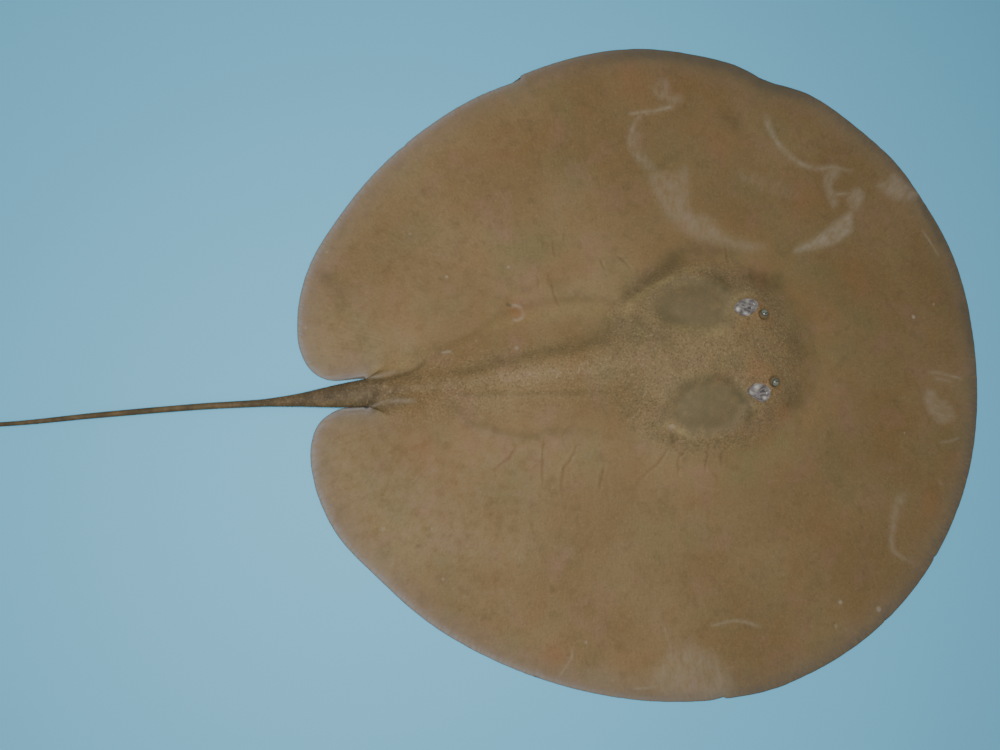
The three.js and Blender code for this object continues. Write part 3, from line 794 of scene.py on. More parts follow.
def divideNearMarks(mesh):
    # halves the edges near marks, more than once close by
    once, twice = skin["refineReach"]
    reaches = [(top, once), (under, 9), (top, twice), (under, 5), (under, 2.6)]
    bm = bmesh.new()
    bm.from_mesh(mesh)
    layers = {name: bm.verts.layers.float[name] for name in layerNames}
    for kindWanted, reach in reaches:
        spots = np.array([v.co for v in bm.verts]) / mm
        kind = np.array([v[layers["kind"]] for v in bm.verts])
        wanted = (markDistance(spots, kind) < reach) & (np.abs(kind - kindWanted) < 0.4)
        edges = [e for e in bm.edges if wanted[e.verts[0].index] and wanted[e.verts[1].index]]
        bmesh.ops.subdivide_edges(bm, edges=edges, cuts=1, use_grid_fill=True)
        bm.verts.index_update()
    bm.to_mesh(mesh)
    bm.free()


def readLayer(mesh, name):
    values = np.zeros(len(mesh.vertices), np.float32)
    mesh.attributes[name].data.foreach_get("value", values)
    return values.astype(float)


def readVectors(values, key):
    # three numbers for each vertex
    numbers = np.zeros(len(values) * 3, np.float32)
    values.foreach_get(key, numbers)
    return numbers.reshape(-1, 3).astype(float)


def writeLayer(mesh, name, values):
    layer = mesh.attributes.get(name) or mesh.attributes.new(name, "FLOAT", "POINT")
    layer.data.foreach_set("value", np.asarray(values, np.float32))


def tailRings(net):
    # the tail as rings closed by a tip
    tailStart, tailEnd = tail["rootX"] - 2.6, tail["tipX"] + 0.9
    stations = mix(tailStart, tailEnd, np.linspace(0, 1, skin["tailRings"]) ** 1.15)
    turns = np.linspace(0, 2 * math.pi, skin["tailSides"], endpoint=False)
    rings = []
    for x in stations:
        spots = tailPoint(np.full(len(turns), x), turns)
        rings.append([net.add(0, 0, 0, onTail, tuple(spot)) for spot in spots])
    tipSpot = np.array(net.spot)[rings[-1]].mean(0) - (0.4, 0, 0)
    tip = net.add(0, 0, 0, onTail, tuple(tipSpot))
    net.sheet([ring + ring[:1] for ring in rings])
    net.faces += [[a, b, tip] for a, b in zip(rings[-1], rings[-1][1:] + rings[-1][:1])]
    return rings


def joinSheets(net, spots, topRows, underRows, firstRing):
    # the margin's underside, the small walls beside the tail and the join to the tail's first ring
    wallAt, underWallAt = skin["innerSteps"], skin["underInner"]
    chain = {}
    for name, rows in (("top", topRows), ("under", underRows)):
        left = [row[-1] for row in rows[1]]
        right = [row[-1] for row in rows[-1]]
        chain[name] = left[::-1] + right[1:]
    net.strip(chain["top"], chain["under"], spots)
    for side in (1, -1):
        net.strip(topRows[side][-1][wallAt:], underRows[side][-1][underWallAt:], spots)
    topEnd = topRows[1][-1][: wallAt + 1][::-1] + topRows[-1][-1][1 : wallAt + 1]
    underEnd = underRows[-1][-1][: underWallAt + 1][::-1] + underRows[1][-1][1 : underWallAt + 1]
    half = skin["tailSides"] // 2
    net.strip(topEnd, firstRing[: half + 1], spots)
    net.strip(underEnd, firstRing[half:] + firstRing[:1], spots)
    net.faces.append([topEnd[-1], underEnd[0], firstRing[half]])
    net.faces.append([topEnd[0], underEnd[-1], firstRing[0]])


def skinMesh():
    net = Net()
    nickRibs = []
    for _, bearing, before, behind, _ in nicks:
        after = min(behind, 1.5)
        spreads = (-1.6 * before, -0.8 * before, 0, 0.6 * after, 1.3 * after)
        nickRibs += [bearing + spread for spread in spreads]
    ribs = ribSteps(skin["ribs"], nickRibs)
    topRows = halfSheets(
        net, ribs, np.linspace(0, 1, skin["innerSteps"] + 1), skin["outerSteps"],
        (8, 5.4, 3.6, 2.3, 1.4, 0.75, 0.3, 0), top,
    )
    underRibs = ribSteps(skin["underRibs"])
    underRows = halfSheets(
        net, underRibs, np.linspace(0, 1, skin["underInner"] + 1), skin["underOuter"], (7, 3.4, 1.5), under
    )
    rings = tailRings(net)
    arrays = [np.array(values) for values in (net.rib, net.place, net.side, net.kind)]
    spots, _ = skinSpots(*arrays, net.spot)
    joinSheets(net, spots, topRows, underRows, rings[0])

    mesh = bpy.data.meshes.new("skin")
    mesh.from_pydata([tuple(spot) for spot in spots * mm], [], net.faces)
    for name, values in zip(layerNames, arrays):
        writeLayer(mesh, name, values)
    divideNearMarks(mesh)
    return mesh


def faceOutward(mesh, mostCorners=math.inf):
    # outward normals and smooth shading, with any face of more corners cut into triangles
    bm = bmesh.new()
    bm.from_mesh(mesh)
    bmesh.ops.triangulate(bm, faces=[f for f in bm.faces if len(f.verts) > mostCorners])
    bmesh.ops.recalc_face_normals(bm, faces=bm.faces)
    bm.to_mesh(mesh)
    bm.free()
    mesh.shade_smooth()


def settleSkin(mesh):
    # puts the vertices where the formulas say, now that the faces are small enough
    values = [readLayer(mesh, name) for name in layerNames]
    spots, inFrom = skinSpots(*values, readVectors(mesh.vertices, "co") / mm)
    mesh.vertices.foreach_set("co", (spots * mm).ravel())
    mesh.update()
    faceOutward(mesh, 4)
    return spots, inFrom


def strokes(x, y, lines):
    # how strongly a set of soft lines marks each point, and how streaky the strongest one is
    share, streaky = np.zeros(len(x)), np.zeros(len(x))
    for points, (start, end), strength, *streak in lines:
        distance, along = toPath(x, y, curveThrough(points))
        fade = smooth(0, 0.12, along) * (1 - smooth(0.86, 1, along))
        here = strength * bell(distance, mix(start, end, along)) * mix(0.5, 1, fade)
        streaky = np.where(here > share, streak[0] if streak else 0, streaky)
        share = np.maximum(share, here)
    return share, streaky


def paleScrapesAndGlints(x, y):
    # how pale the scrapes, patches and specks make the skin, a few of them painted highlights, and how
    # streaky it is there
    pale, streaky = strokes(x, y, scrapesAndGlints)
    for points, softness, strength, streak in patches:
        loop = curveThrough(points, closed=True)
        distance, _ = toPath(x, y, loop)
        distance = np.where(insideLoop(x, y, loop), -distance, distance)
        here = strength * (1 - smooth(-softness, softness, distance))
        streaky = np.where(here > pale, streak, streaky)
        pale = np.maximum(pale, here)
    for spotX, spotY, radius, strength in specks:
        pale = np.maximum(pale, strength * (1 - smooth(0.5, 1.2, np.hypot(x - spotX, y - spotY) / radius)))
    return np.maximum(pale, 0.55 * ringShare(x, y)), streaky


def paintSkin(mesh, spots, inFrom):
    # the markings, as numbers that the skin's material and the coat's read
    x, y = spots[:, 0], spots[:, 1]
    across = np.abs(y)
    kind, rib, side, place = [readLayer(mesh, name) for name in ("kind", "rib", "side", "place")]
    isTail = kind > 1.5
    onBack = kind < 0.5
    isUnder = (kind > 0.5) & (kind < 1.5)
    lowShare = np.clip(kind, 0, 1) * (kind < 1.5)
    pale, streaky = paleScrapesAndGlints(x, y)
    # the creases on the back and the grooves below are painted darker and redder, partly their own skin and
    # partly painted shade in them
    crease = np.zeros(len(x))
    wavyX, wavyY = wavy(x, y)
    for curve in creaseCurves:
        distance, along = toPath(wavyX, wavyY, curve)
        crease = np.maximum(crease, bell(distance, 1.0) * np.sin(math.pi * np.clip(along, 0, 1)))
    groove = np.zeros(len(x))
    for path, halfWidth, _ in mouthGrooves + underGrooves:
        distance, _ = toPath(x, y, path)
        groove = np.maximum(groove, bell(distance, halfWidth * 1.3))
    hollowX, hollowY, length, width, _ = relief["hollow"]
    hollow = np.hypot((x - hollowX) / length, (across - hollowY) / width) + 0.16 * cloudAt(x, y, 13, 3.3)
    # the folds' darkness is painted shade along their hollows, in places also darker skin
    foldShades = [(points, widths, darkness) for points, widths, _, darkness in folds]
    # the shade mark: darker, greener skin, with painted shade on flanks facing from the light
    shade, _ = strokes(x, y, shades + foldShades)
    eyeDistance = eyeGap(x, y)
    # painted shade: a dark ring in the socket round each eye
    shade = np.maximum(shade, 0.55 * bell(eyeDistance - eye["lid"] - 0.2, 0.9))
    # the left front margin's greener rim
    green = smooth(46, 60, rib) * (1 - smooth(84, 100, rib)) * (side > 0) * (1 - smooth(3, 17, inFrom))
    shade = np.maximum(shade, 0.7 * green)
    # the glow mark: pale rims, partly painted highlight where they catch the light
    glow, _ = strokes(x, y, glows)
    warm = 0.5 * bell(eyeDistance - 7, 5)
    for warmX, warmY, radius, strength in warmPlaces:
        warm = np.maximum(warm, strength * bell(np.hypot(x - warmX, y - warmY), radius))
    mound = (1 - smooth(66, 98, np.hypot((x - 25) / 1.12, y))) * onBack
    trunkHalf = mix(13, 34, smooth(-262, -215, x))
    trunk = bell(across, trunkHalf) * smooth(-300, -262, x) * (1 - smooth(-40, 20, x)) * onBack
    nearTail = (1 - smooth(-262, -226, x)) * (1 - smooth(9, 26, across))
    onFin = smooth(1, 1.25, place) * onBack
    forward = 1 - smooth(70, 132, rib)
    grain = np.maximum(np.maximum(mound, trunk), np.where(isTail, 0.65 * smooth(-420, -300, x), 0.3))
    grain = grain * (1 - 0.55 * (1 - smooth(0.7, 1.0, hollow)))
    fields = {
        "marginDistance": np.where(isTail, 60, inFrom),
        "fan": rib * side,
        "pale": np.where(kind > 0.5, 0, pale),
        "streaky": streaky,
        "crease": np.maximum(crease * onBack, groove * isUnder),
        "belly": np.where(isTail, 0, lowShare * (1 - nearTail)),
        "hollow": (1 - smooth(0.66, 1.2, hollow)) * onBack,
        "fin": smooth(1.02, 1.35, place) * onBack,
        "shade": shade * onBack,
        "glow": glow * onBack,
        "forward": forward * onFin,
        "rearward": (1 - forward) * onFin,
        "mound": mound,
        "warm": warm * onBack,
        "tailShare": np.where(isTail, 1, smooth(-185, -262, x) * (1 - smooth(8, 20, across))),
        "grain": grain * (1 - lowShare),
    }
    for name, values in fields.items():
        writeLayer(mesh, name, values)


def triangleCount(mesh):
    return sum(len(face.vertices) - 2 for face in mesh.polygons)


print("skin: laying the net")
skinData = skinMesh()
skinSpotsNow, marginNow = settleSkin(skinData)
paintSkin(skinData, skinSpotsNow, marginNow)
skinPiece = addObject("skin", skinData)
print("skin:", len(skinData.vertices), "vertices,", triangleCount(skinData), "triangles")


def fromHex(code):
    # an sRGB colour as linear numbers
    channels = [int(code[i : i + 2], 16) / 255 for i in (1, 3, 5)]
    return tuple(c / 12.92 if c <= 0.04045 else ((c + 0.055) / 1.055) ** 2.4 for c in channels) + (1.0,)


def addNode(tree, kind, settings=None, links=None):
    # adds a node, sets its properties or unlinked sockets, and links the others
    node = tree.nodes.new(kind)
    for name, value in (settings or {}).items():
        if isinstance(name, str) and hasattr(node, name):
            setattr(node, name, value)
        else:
            node.inputs[name].default_value = value
    for name, source in (links or {}).items():
        tree.links.new(source, node.inputs[name])
    return node


def blankMaterial(name):
    # a material with an empty node tree
    material = bpy.data.materials.new(name)
    material.use_nodes = True
    material.node_tree.nodes.clear()
    return material, material.node_tree


# Live ray skin: thin, naked and slimy over the fins, set with tiny denticles over the body. It gives a soft
# satin sheen, a brown that drifts between olive, orange and pink, and a grain like fine sandpaper.
skinLook = {
    "base": "#7a6443",
    "ior": 1.4,  # skin under a film of slime
    "specular": 0.25,
    "roughness": 0.6,
    "clouds": {  # size in mm, detail, seed
        "tone": (75, 3, 1.0), "hue": (30, 3, 2.0), "olive": (38, 3, 3.0), "rosy": (24, 4, 4.0),
        "blotch": (8, 4, 5.0), "fleck": (2.6, 2, 6.0), "grit": (1.5, 2, 7.0),  # real grit is half as coarse
    },
    # colour, strength, mark it follows, cloud that breaks it up, where that cloud starts and is full
    "layers": [
        ("#8b7655", 0.65, None, "tone", 0.40, 0.64),
        ("#7e613c", 0.38, None, "hue", 0.48, 0.70),
        ("#69623f", 0.47, None, "olive", 0.50, 0.72),
        ("#896a58", 0.47, None, "rosy", 0.52, 0.74),
        ("#5a4a32", 0.34, None, "blotch", 0.50, 0.78),
        ("#54452e", 0.26, "fin", "fibre", 0.54, 0.80),
        ("#9a8766", 0.17, "fin", "fibre", 0.44, 0.22),
        ("#5c4a2e", 0.22, "forward", None, 0, 1),
        ("#6c5f45", 0.45, "mound", "blotch", 0.20, 0.60),
        ("#8b5f3c", 0.55, "warm", "rosy", 0.30, 0.60),
        ("#4b402f", 0.88, "tailShare", "blotch", 0.10, 0.60),
        ("#9f8e6e", 0.50, "grain", "grit", 0.55, 0.75),
        ("#4a3f2c", 0.55, "grain", "grit", 0.47, 0.30),
        ("#5e573f", 0.62, "hollow", "blotch", 0.10, 0.50),
        # pale rims, partly painted highlight where they catch the light
        ("#a08e60", 0.55, "glow", "fleck", 0.20, 0.60),
        # darker, greener skin together with painted shade: on flanks facing from the light, along the folds
        # and in the eye sockets
        ("#4a4229", 0.85, "shade", "blotch", -0.10, 0.55),
        # the creases darker and redder, partly painted shade in them
        ("#5c3d29", 0.32, "crease", "fleck", 0.25, 0.55),
    ],
    "margins": [  # colour, strength, width in mm, mark it follows
        ("#7d7068", 0.44, 26, "rearward"),
        ("#8a8280", 0.50, 9, "rearward"),
        ("#696459", 0.45, 30, "forward"),
        ("#53504a", 0.60, 13, "forward"),
        ("#8b8c8b", 0.50, 5, "rearward"),
    ],
    # the pale of the scrapes, which also paints the highlights of wet glints
    "scrapeAndGlint": ("#a09583", 0.95),
    "belly": ("#d9cfc0", "#a8968a"),  # the pale underside, and its greyer border
    "groove": "#8a5a50",
    "coatLift": "#b5a27e",  # what the denticles' own colour is lifted towards
    "fibresPerDegree": 2.4,
    "fibresPerMm": 0.17,
    "bumpGrit": 0.35,
    "bumpFlesh": 0.5,
}
marks = (
    "marginDistance", "fan", "pale", "streaky", "crease", "belly", "hollow", "shade", "glow", "forward",
    "rearward",
    "mound", "warm", "tailShare", "grain", "fin",
)


def skinMaterial(name, look, lift):
    material, tree = blankMaterial(name)
    times = {"operation": "MULTIPLY"}
    place = addNode(tree, "ShaderNodeTexCoord").outputs["Object"]
    settings = {"operation": "SCALE", "Scale": 1 / mm}
    inMm = addNode(tree, "ShaderNodeVectorMath", settings, {0: place}).outputs[0]
    mark = {m: addNode(tree, "ShaderNodeAttribute", {"attribute_name": m}).outputs["Fac"] for m in marks}
    cloud = {}
    for key, (size, detail, seed) in look["clouds"].items():
        settings = {"noise_dimensions": "4D", "Scale": 1 / size, "Detail": detail, "W": seed}
        cloud[key] = addNode(tree, "ShaderNodeTexNoise", settings, {"Vector": inMm}).outputs["Fac"]
    # fibres that follow the fin's rays: fine ones in the skin, wide ones in the scrapes
    runs = addNode(tree, "ShaderNodeMath", {**times, 1: look["fibresPerDegree"]}, {0: mark["fan"]}).outputs[0]
    settings = {**times, 1: look["fibresPerMm"]}
    deep = addNode(tree, "ShaderNodeMath", settings, {0: mark["marginDistance"]}).outputs[0]
    lie = addNode(tree, "ShaderNodeCombineXYZ", {}, {"X": runs, "Y": deep}).outputs[0]
    for key, scale, bent in (("fibre", 1, 0.5), ("streak", 0.42, 0.3)):
        settings = {"Scale": scale, "Detail": 3, "Distortion": bent}
        cloud[key] = addNode(tree, "ShaderNodeTexNoise", settings, {"Vector": lie}).outputs["Fac"]
    colour = fromHex(look["base"])
    for code, strength, follows, breaker, start, full in look["layers"]:
        share = None
        if breaker:
            settings = {"From Min": start, "From Max": full, "To Max": strength}
            share = addNode(tree, "ShaderNodeMapRange", settings, {"Value": cloud[breaker]}).outputs[0]
        if follows and share:
            share = addNode(tree, "ShaderNodeMath", times, {0: share, 1: mark[follows]}).outputs[0]
        elif follows:
            share = addNode(tree, "ShaderNodeMath", {**times, 1: strength}, {0: mark[follows]}).outputs[0]
        settings = {"data_type": "RGBA", 7: fromHex(code)}
        links = {0: share}
        if isinstance(colour, tuple):
            settings[6] = colour
        else:
            links[6] = colour
        colour = addNode(tree, "ShaderNodeMix", settings, links).outputs[2]
    for code, strength, width, follows in look["margins"]:
        settings = {"interpolation_type": "SMOOTHSTEP", "From Min": width, "From Max": 0, "To Max": strength}
        near = addNode(tree, "ShaderNodeMapRange", settings, {"Value": mark["marginDistance"]}).outputs[0]
        settings = {"From Min": 0.34, "From Max": 0.62, "To Min": 0.4}
        broken = addNode(tree, "ShaderNodeMapRange", settings, {"Value": cloud["fibre"]}).outputs[0]
        share = addNode(tree, "ShaderNodeMath", times, {0: near, 1: broken}).outputs[0]
        share = addNode(tree, "ShaderNodeMath", times, {0: share, 1: mark[follows]}).outputs[0]
        settings = {"data_type": "RGBA", 7: fromHex(code)}
        colour = addNode(tree, "ShaderNodeMix", settings, {0: share, 6: colour}).outputs[2]
    # scrapes: pale, and broken into streaks where they are wide; the same pale paints the highlights of the
    # wet glints
    settings = {"From Min": 0.34, "From Max": 0.62, "To Min": 0.12}
    ragged = addNode(tree, "ShaderNodeMapRange", settings, {"Value": cloud["streak"]}).outputs[0]
    settings = {"From Min": 0.36, "From Max": 0.62, "To Min": 0.3}
    worn = addNode(tree, "ShaderNodeMapRange", settings, {"Value": cloud["blotch"]}).outputs[0]
    links = {0: mark["streaky"], 2: worn, 3: ragged}
    kept = addNode(tree, "ShaderNodeMix", {"data_type": "FLOAT"}, links).outputs[0]
    paleShown = addNode(tree, "ShaderNodeMath", times, {0: kept, 1: mark["pale"]}).outputs[0]
    paleCode, paleStrength = look["scrapeAndGlint"]
    share = addNode(tree, "ShaderNodeMath", {**times, 1: paleStrength}, {0: paleShown}).outputs[0]
    settings = {"data_type": "RGBA", 7: fromHex(paleCode)}
    colour = addNode(tree, "ShaderNodeMix", settings, {0: share, 6: colour}).outputs[2]
    # the underside is creamy, with a greyer border that drifts in and out
    bellyCode, borderCode = look["belly"]
    wander = addNode(tree, "ShaderNodeMath", {**times, 1: 60}, {0: cloud["hue"]}).outputs[0]
    links = {0: wander, 1: mark["marginDistance"]}
    inward = addNode(tree, "ShaderNodeMath", {"operation": "ADD"}, links).outputs[0]
    settings = {"interpolation_type": "SMOOTHSTEP", "From Min": 44, "From Max": 84}
    central = addNode(tree, "ShaderNodeMapRange", settings, {"Value": inward}).outputs[0]
    settings = {"data_type": "RGBA", 6: fromHex(borderCode), 7: fromHex(bellyCode)}
    pale = addNode(tree, "ShaderNodeMix", settings, {0: central}).outputs[2]
    # the underside's grooves darker and redder, partly painted shade in them
    settings = {"data_type": "RGBA", 7: fromHex(look["groove"])}
    grooved = addNode(tree, "ShaderNodeMath", {**times, 1: 0.7}, {0: mark["crease"]}).outputs[0]
    pale = addNode(tree, "ShaderNodeMix", settings, {0: grooved, 6: pale}).outputs[2]
    links = {0: mark["belly"], 6: colour, 7: pale}
    colour = addNode(tree, "ShaderNodeMix", {"data_type": "RGBA"}, links).outputs[2]
    if lift:
        settings = {"data_type": "RGBA", 0: lift, 7: fromHex(look["coatLift"])}
        colour = addNode(tree, "ShaderNodeMix", settings, {6: colour}).outputs[2]
    gritty = addNode(tree, "ShaderNodeMath", times, {0: cloud["grit"], 1: mark["grain"]}).outputs[0]
    settings = {"Distance": look["bumpGrit"] * mm, "Strength": 0.7}
    grit = addNode(tree, "ShaderNodeBump", settings, {"Height": gritty}).outputs[0]
    settings = {"Distance": look["bumpFlesh"] * mm, "Strength": 0.5}
    flesh = addNode(tree, "ShaderNodeBump", settings, {"Height": cloud["fleck"], "Normal": grit}).outputs[0]
    dull, shiny = look["roughness"] + 0.09, look["roughness"] - 0.09
    settings = {"From Min": 0.3, "From Max": 0.7, "To Min": shiny, "To Max": dull}
    sheen = addNode(tree, "ShaderNodeMapRange", settings, {"Value": cloud["blotch"]}).outputs[0]
    links = {"Base Color": colour, "Roughness": sheen, "Normal": flesh}
    settings = {"IOR": look["ior"], "Specular IOR Level": look["specular"]}
    shader = addNode(tree, "ShaderNodeBsdfPrincipled", settings, links)
    addNode(tree, "ShaderNodeOutputMaterial", {}, {"Surface": shader.outputs[0]})
    return material


skinData.materials.append(skinMaterial("slimySkin", skinLook, 0))

# Denticles: skin teeth smaller than a millimetre, which make the back feel like sandpaper.
coat = {
    "spacing": 1.75,  # mm between roots
    "radius": 0.5,  # about half as large again as a real one, so that it shows
    "height": 0.42,
    "sunk": 0.16,
    "sides": 5,
    "seed": 7,
    "patch": 0.003,  # how wide each one is on the bake map
    "mapSpan": 1.06,  # metres across the bake map, and where its corner lies
    "mapCorner": (-0.74, -0.5),
}


def denticleTree():
    tree = bpy.data.node_groups.new("denticles", "GeometryNodeTree")
    tree.interface.new_socket("Geometry", in_out="INPUT", socket_type="NodeSocketGeometry")
    numbers = {
        "Spacing": "Float", "Radius": "Float", "Height": "Float", "Sunk": "Float", "Sides": "Int",
        "Seed": "Int",
    }
    for name, kind in numbers.items():
        tree.interface.new_socket(name, in_out="INPUT", socket_type="NodeSocket" + kind)
    tree.interface.new_socket("Finish", in_out="INPUT", socket_type="NodeSocketMaterial")
    tree.interface.new_socket("Geometry", in_out="OUTPUT", socket_type="NodeSocketGeometry")
    given = addNode(tree, "NodeGroupInput").outputs
    settings = {"data_type": "FLOAT", "Name": "denticle"}
    wanted = addNode(tree, "GeometryNodeInputNamedAttribute", settings).outputs[0]
    settings = {"operation": "GREATER_THAN", 1: 0.03}
    shown = addNode(tree, "FunctionNodeCompare", settings, {0: wanted}).outputs[0]
    links = {
        "Mesh": given["Geometry"], "Selection": shown, "Distance Min": given["Spacing"],
        "Density Factor": wanted, "Seed": given["Seed"],
    }
    settings = {"distribute_method": "POISSON", "Density Max": 600000.0}
    strewn = addNode(tree, "GeometryNodeDistributePointsOnFaces", settings, links).outputs
    spot = addNode(tree, "GeometryNodeInputPosition").outputs[0]
    settings = {"data_type": "FLOAT_VECTOR", "domain": "POINT", "Name": "root"}
    links = {"Geometry": strewn["Points"], "Value": spot}
    roots = addNode(tree, "GeometryNodeStoreNamedAttribute", settings, links).outputs[0]
    links = {"Vertices": given["Sides"], "Radius Bottom": given["Radius"], "Depth": given["Height"]}
    cone = addNode(tree, "GeometryNodeMeshCone", {"Radius Top": 0.0}, links).outputs["Mesh"]
    down = addNode(tree, "ShaderNodeMath", {"operation": "MULTIPLY", 1: -1.0}, {0: given["Sunk"]}).outputs[0]
    drop = addNode(tree, "ShaderNodeCombineXYZ", {}, {"Z": down}).outputs[0]
    tooth = addNode(tree, "GeometryNodeTransform", {}, {"Geometry": cone, "Translation": drop}).outputs[0]
    settings = {"data_type": "FLOAT_VECTOR", 0: (-0.25, -0.25, 0), 1: (0.25, 0.25, 2 * math.pi)}
    tilt = addNode(tree, "FunctionNodeRandomValue", settings, {"Seed": given["Seed"]}).outputs[0]
    turn = addNode(tree, "FunctionNodeEulerToRotation", {}, {0: tilt}).outputs[0]
    links = {"Rotation": strewn["Rotation"], "Rotate By": turn}
    turned = addNode(tree, "FunctionNodeRotateRotation", {"rotation_space": "LOCAL"}, links).outputs[0]
    settings = {"data_type": "FLOAT", 2: 0.6, 3: 1.2}
    size = addNode(tree, "FunctionNodeRandomValue", settings, {"Seed": given["Seed"]}).outputs[1]
    links = {"Points": roots, "Instance": tooth, "Rotation": turned, "Scale": size}
    many = addNode(tree, "GeometryNodeInstanceOnPoints", {}, links).outputs[0]
    real = addNode(tree, "GeometryNodeRealizeInstances", {}, {0: many}).outputs[0]
    links = {"Geometry": real, "Material": given["Finish"]}
    done = addNode(tree, "GeometryNodeSetMaterial", {}, links).outputs[0]
    addNode(tree, "NodeGroupOutput", {}, {0: done})
    return tree


def denticleDensity(mesh, spots):
    # thick over the head, gill region, trunk and tail base, and thinning out over the inner fins
    x, y = spots[:, 0], spots[:, 1]
    kind = readLayer(mesh, "kind")
    body = 1 - smooth(70, 120, np.hypot((x - 15) / 1.15, y))
    trunk = bell(y, mix(14, 42, smooth(-258, -225, x))) * smooth(-300, -262, x) * (1 - smooth(-40, 20, x))
    onTail = smooth(-400, -300, x) * 0.7
    density = np.where(kind > 1.5, onTail, np.maximum(body, trunk))
    density *= smooth(5.5, 8, eyeGap(x, y))
    density *= smooth(0.8, 2.4, spiracleGap(x, y))
    low = (kind > 0.4) & (kind < 1.6) | (spots[:, 2] < 3)
    return np.where(low, 0, density)


def makeCoat():
    bed = skinPiece.copy()
    bed.data = skinData.copy()
    scene.collection.objects.link(bed)
    writeLayer(bed.data, "denticle", denticleDensity(bed.data, skinSpotsNow))
    grower = bed.modifiers.new("denticles", "NODES")
    grower.node_group = denticleTree()
    values = {
        "Spacing": coat["spacing"] * mm, "Radius": coat["radius"] * mm, "Height": coat["height"] * mm,
        "Sunk": coat["sunk"] * mm, "Sides": coat["sides"], "Seed": coat["seed"],
        "Finish": skinMaterial("denticleEnamel", skinLook, 0.16),
    }
    for item in grower.node_group.interface.items_tree:
        if item.in_out == "INPUT" and item.name in values:
            grower[item.identifier] = values[item.name]
    bpy.context.view_layer.update()
    ready = bed.evaluated_get(bpy.context.evaluated_depsgraph_get())
    mesh = bpy.data.meshes.new_from_object(ready)
    bpy.data.objects.remove(bed)
    mesh.name = "denticles"
    roots = readVectors(mesh.attributes["root"].data, "vector")
    spots = readVectors(mesh.vertices, "co")
    # the bake map: the back spread out flat, with every denticle drawn large round its root
    spread = coat["patch"] / (2.4 * coat["radius"] * mm)
    flat = (roots[:, :2] - coat["mapCorner"]) / coat["mapSpan"]
    flat += (spots - roots)[:, :2] * spread
    corners = np.zeros(len(mesh.loops), int)
    mesh.loops.foreach_get("vertex_index", corners)
    bakeMap = mesh.uv_layers.new(name="OFBake")
    bakeMap.data.foreach_set("uv", flat[corners].astype(np.float32).ravel())
    return addObject("denticles", mesh)


coatPiece = makeCoat()
print("denticles:", triangleCount(coatPiece.data), "triangles")

# Eyes: a clear wet cornea over a dark iris, with the fringed flap that all rays have hanging over the pupil.
eyeLook = {
    "radius": 4.3,
    "cornea": 0.3,  # how far the cornea stands out of the ball
    "lookForward": 0.05,
    "lookOut": 0.45,
    "segments": 40,
    "rings": 26,
    "iris": "#666c60",
    "irisRim": "#3b403a",
    "gold": "#7d7c66",
    "pupil": "#181c19",
    "lid": "#6b5a3e",
    "corneaLean": 0.62,  # radians from the axis over which the cornea falls to the ball
    "irisLean": 0.78,
    "pupilShape": (0.10, 0.50, 0.38),  # shift outward, half length, half width
    "flapShape": (-0.06, 0.46, 0.36),
}
eyeFields = ("irisField", "pupilField", "flapField")


def eyeMaterial():
    material, tree = blankMaterial("wetCornea")
    field = {m: addNode(tree, "ShaderNodeAttribute", {"attribute_name": m}).outputs["Fac"] for m in eyeFields}
    place = addNode(tree, "ShaderNodeTexCoord").outputs["Object"]
    settings = {"Scale": 2600, "Detail": 3}
    fleck = addNode(tree, "ShaderNodeTexNoise", settings, {"Vector": place}).outputs["Fac"]
    settings = {"From Min": 0.42, "From Max": 0.66}
    flecked = addNode(tree, "ShaderNodeMapRange", settings, {"Value": fleck}).outputs[0]
    settings = {"data_type": "RGBA", 6: fromHex(eyeLook["iris"]), 7: fromHex(eyeLook["gold"])}
    colour = addNode(tree, "ShaderNodeMix", settings, {0: flecked}).outputs[2]
    shapes = (("irisField", 0.80, 1.0, "irisRim"), ("irisField", 1.05, 1.35, "lid"))
    for name, start, full, code in shapes:
        settings = {"From Min": start, "From Max": full}
        share = addNode(tree, "ShaderNodeMapRange", settings, {"Value": field[name]}).outputs[0]
        settings = {"data_type": "RGBA", 7: fromHex(eyeLook[code])}
        colour = addNode(tree, "ShaderNodeMix", settings, {0: share, 6: colour}).outputs[2]
    # the pupil shows where the flap leaves it bare
    links = {}
    for index, (name, start, full) in enumerate((("pupilField", 1.05, 0.92), ("flapField", 0.95, 1.05))):
        settings = {"From Min": start, "From Max": full}
        links[index] = addNode(tree, "ShaderNodeMapRange", settings, {"Value": field[name]}).outputs[0]
    dark = addNode(tree, "ShaderNodeMath", {"operation": "MULTIPLY"}, links).outputs[0]
    settings = {"data_type": "RGBA", 7: fromHex(eyeLook["pupil"])}
    colour = addNode(tree, "ShaderNodeMix", settings, {0: dark, 6: colour}).outputs[2]
    settings = {"Roughness": 0.16, "IOR": 1.376, "Coat Weight": 0.7, "Coat Roughness": 0.09}
    shader = addNode(tree, "ShaderNodeBsdfPrincipled", settings, {"Base Color": colour})
    addNode(tree, "ShaderNodeOutputMaterial", {}, {"Surface": shader.outputs[0]})
    return material


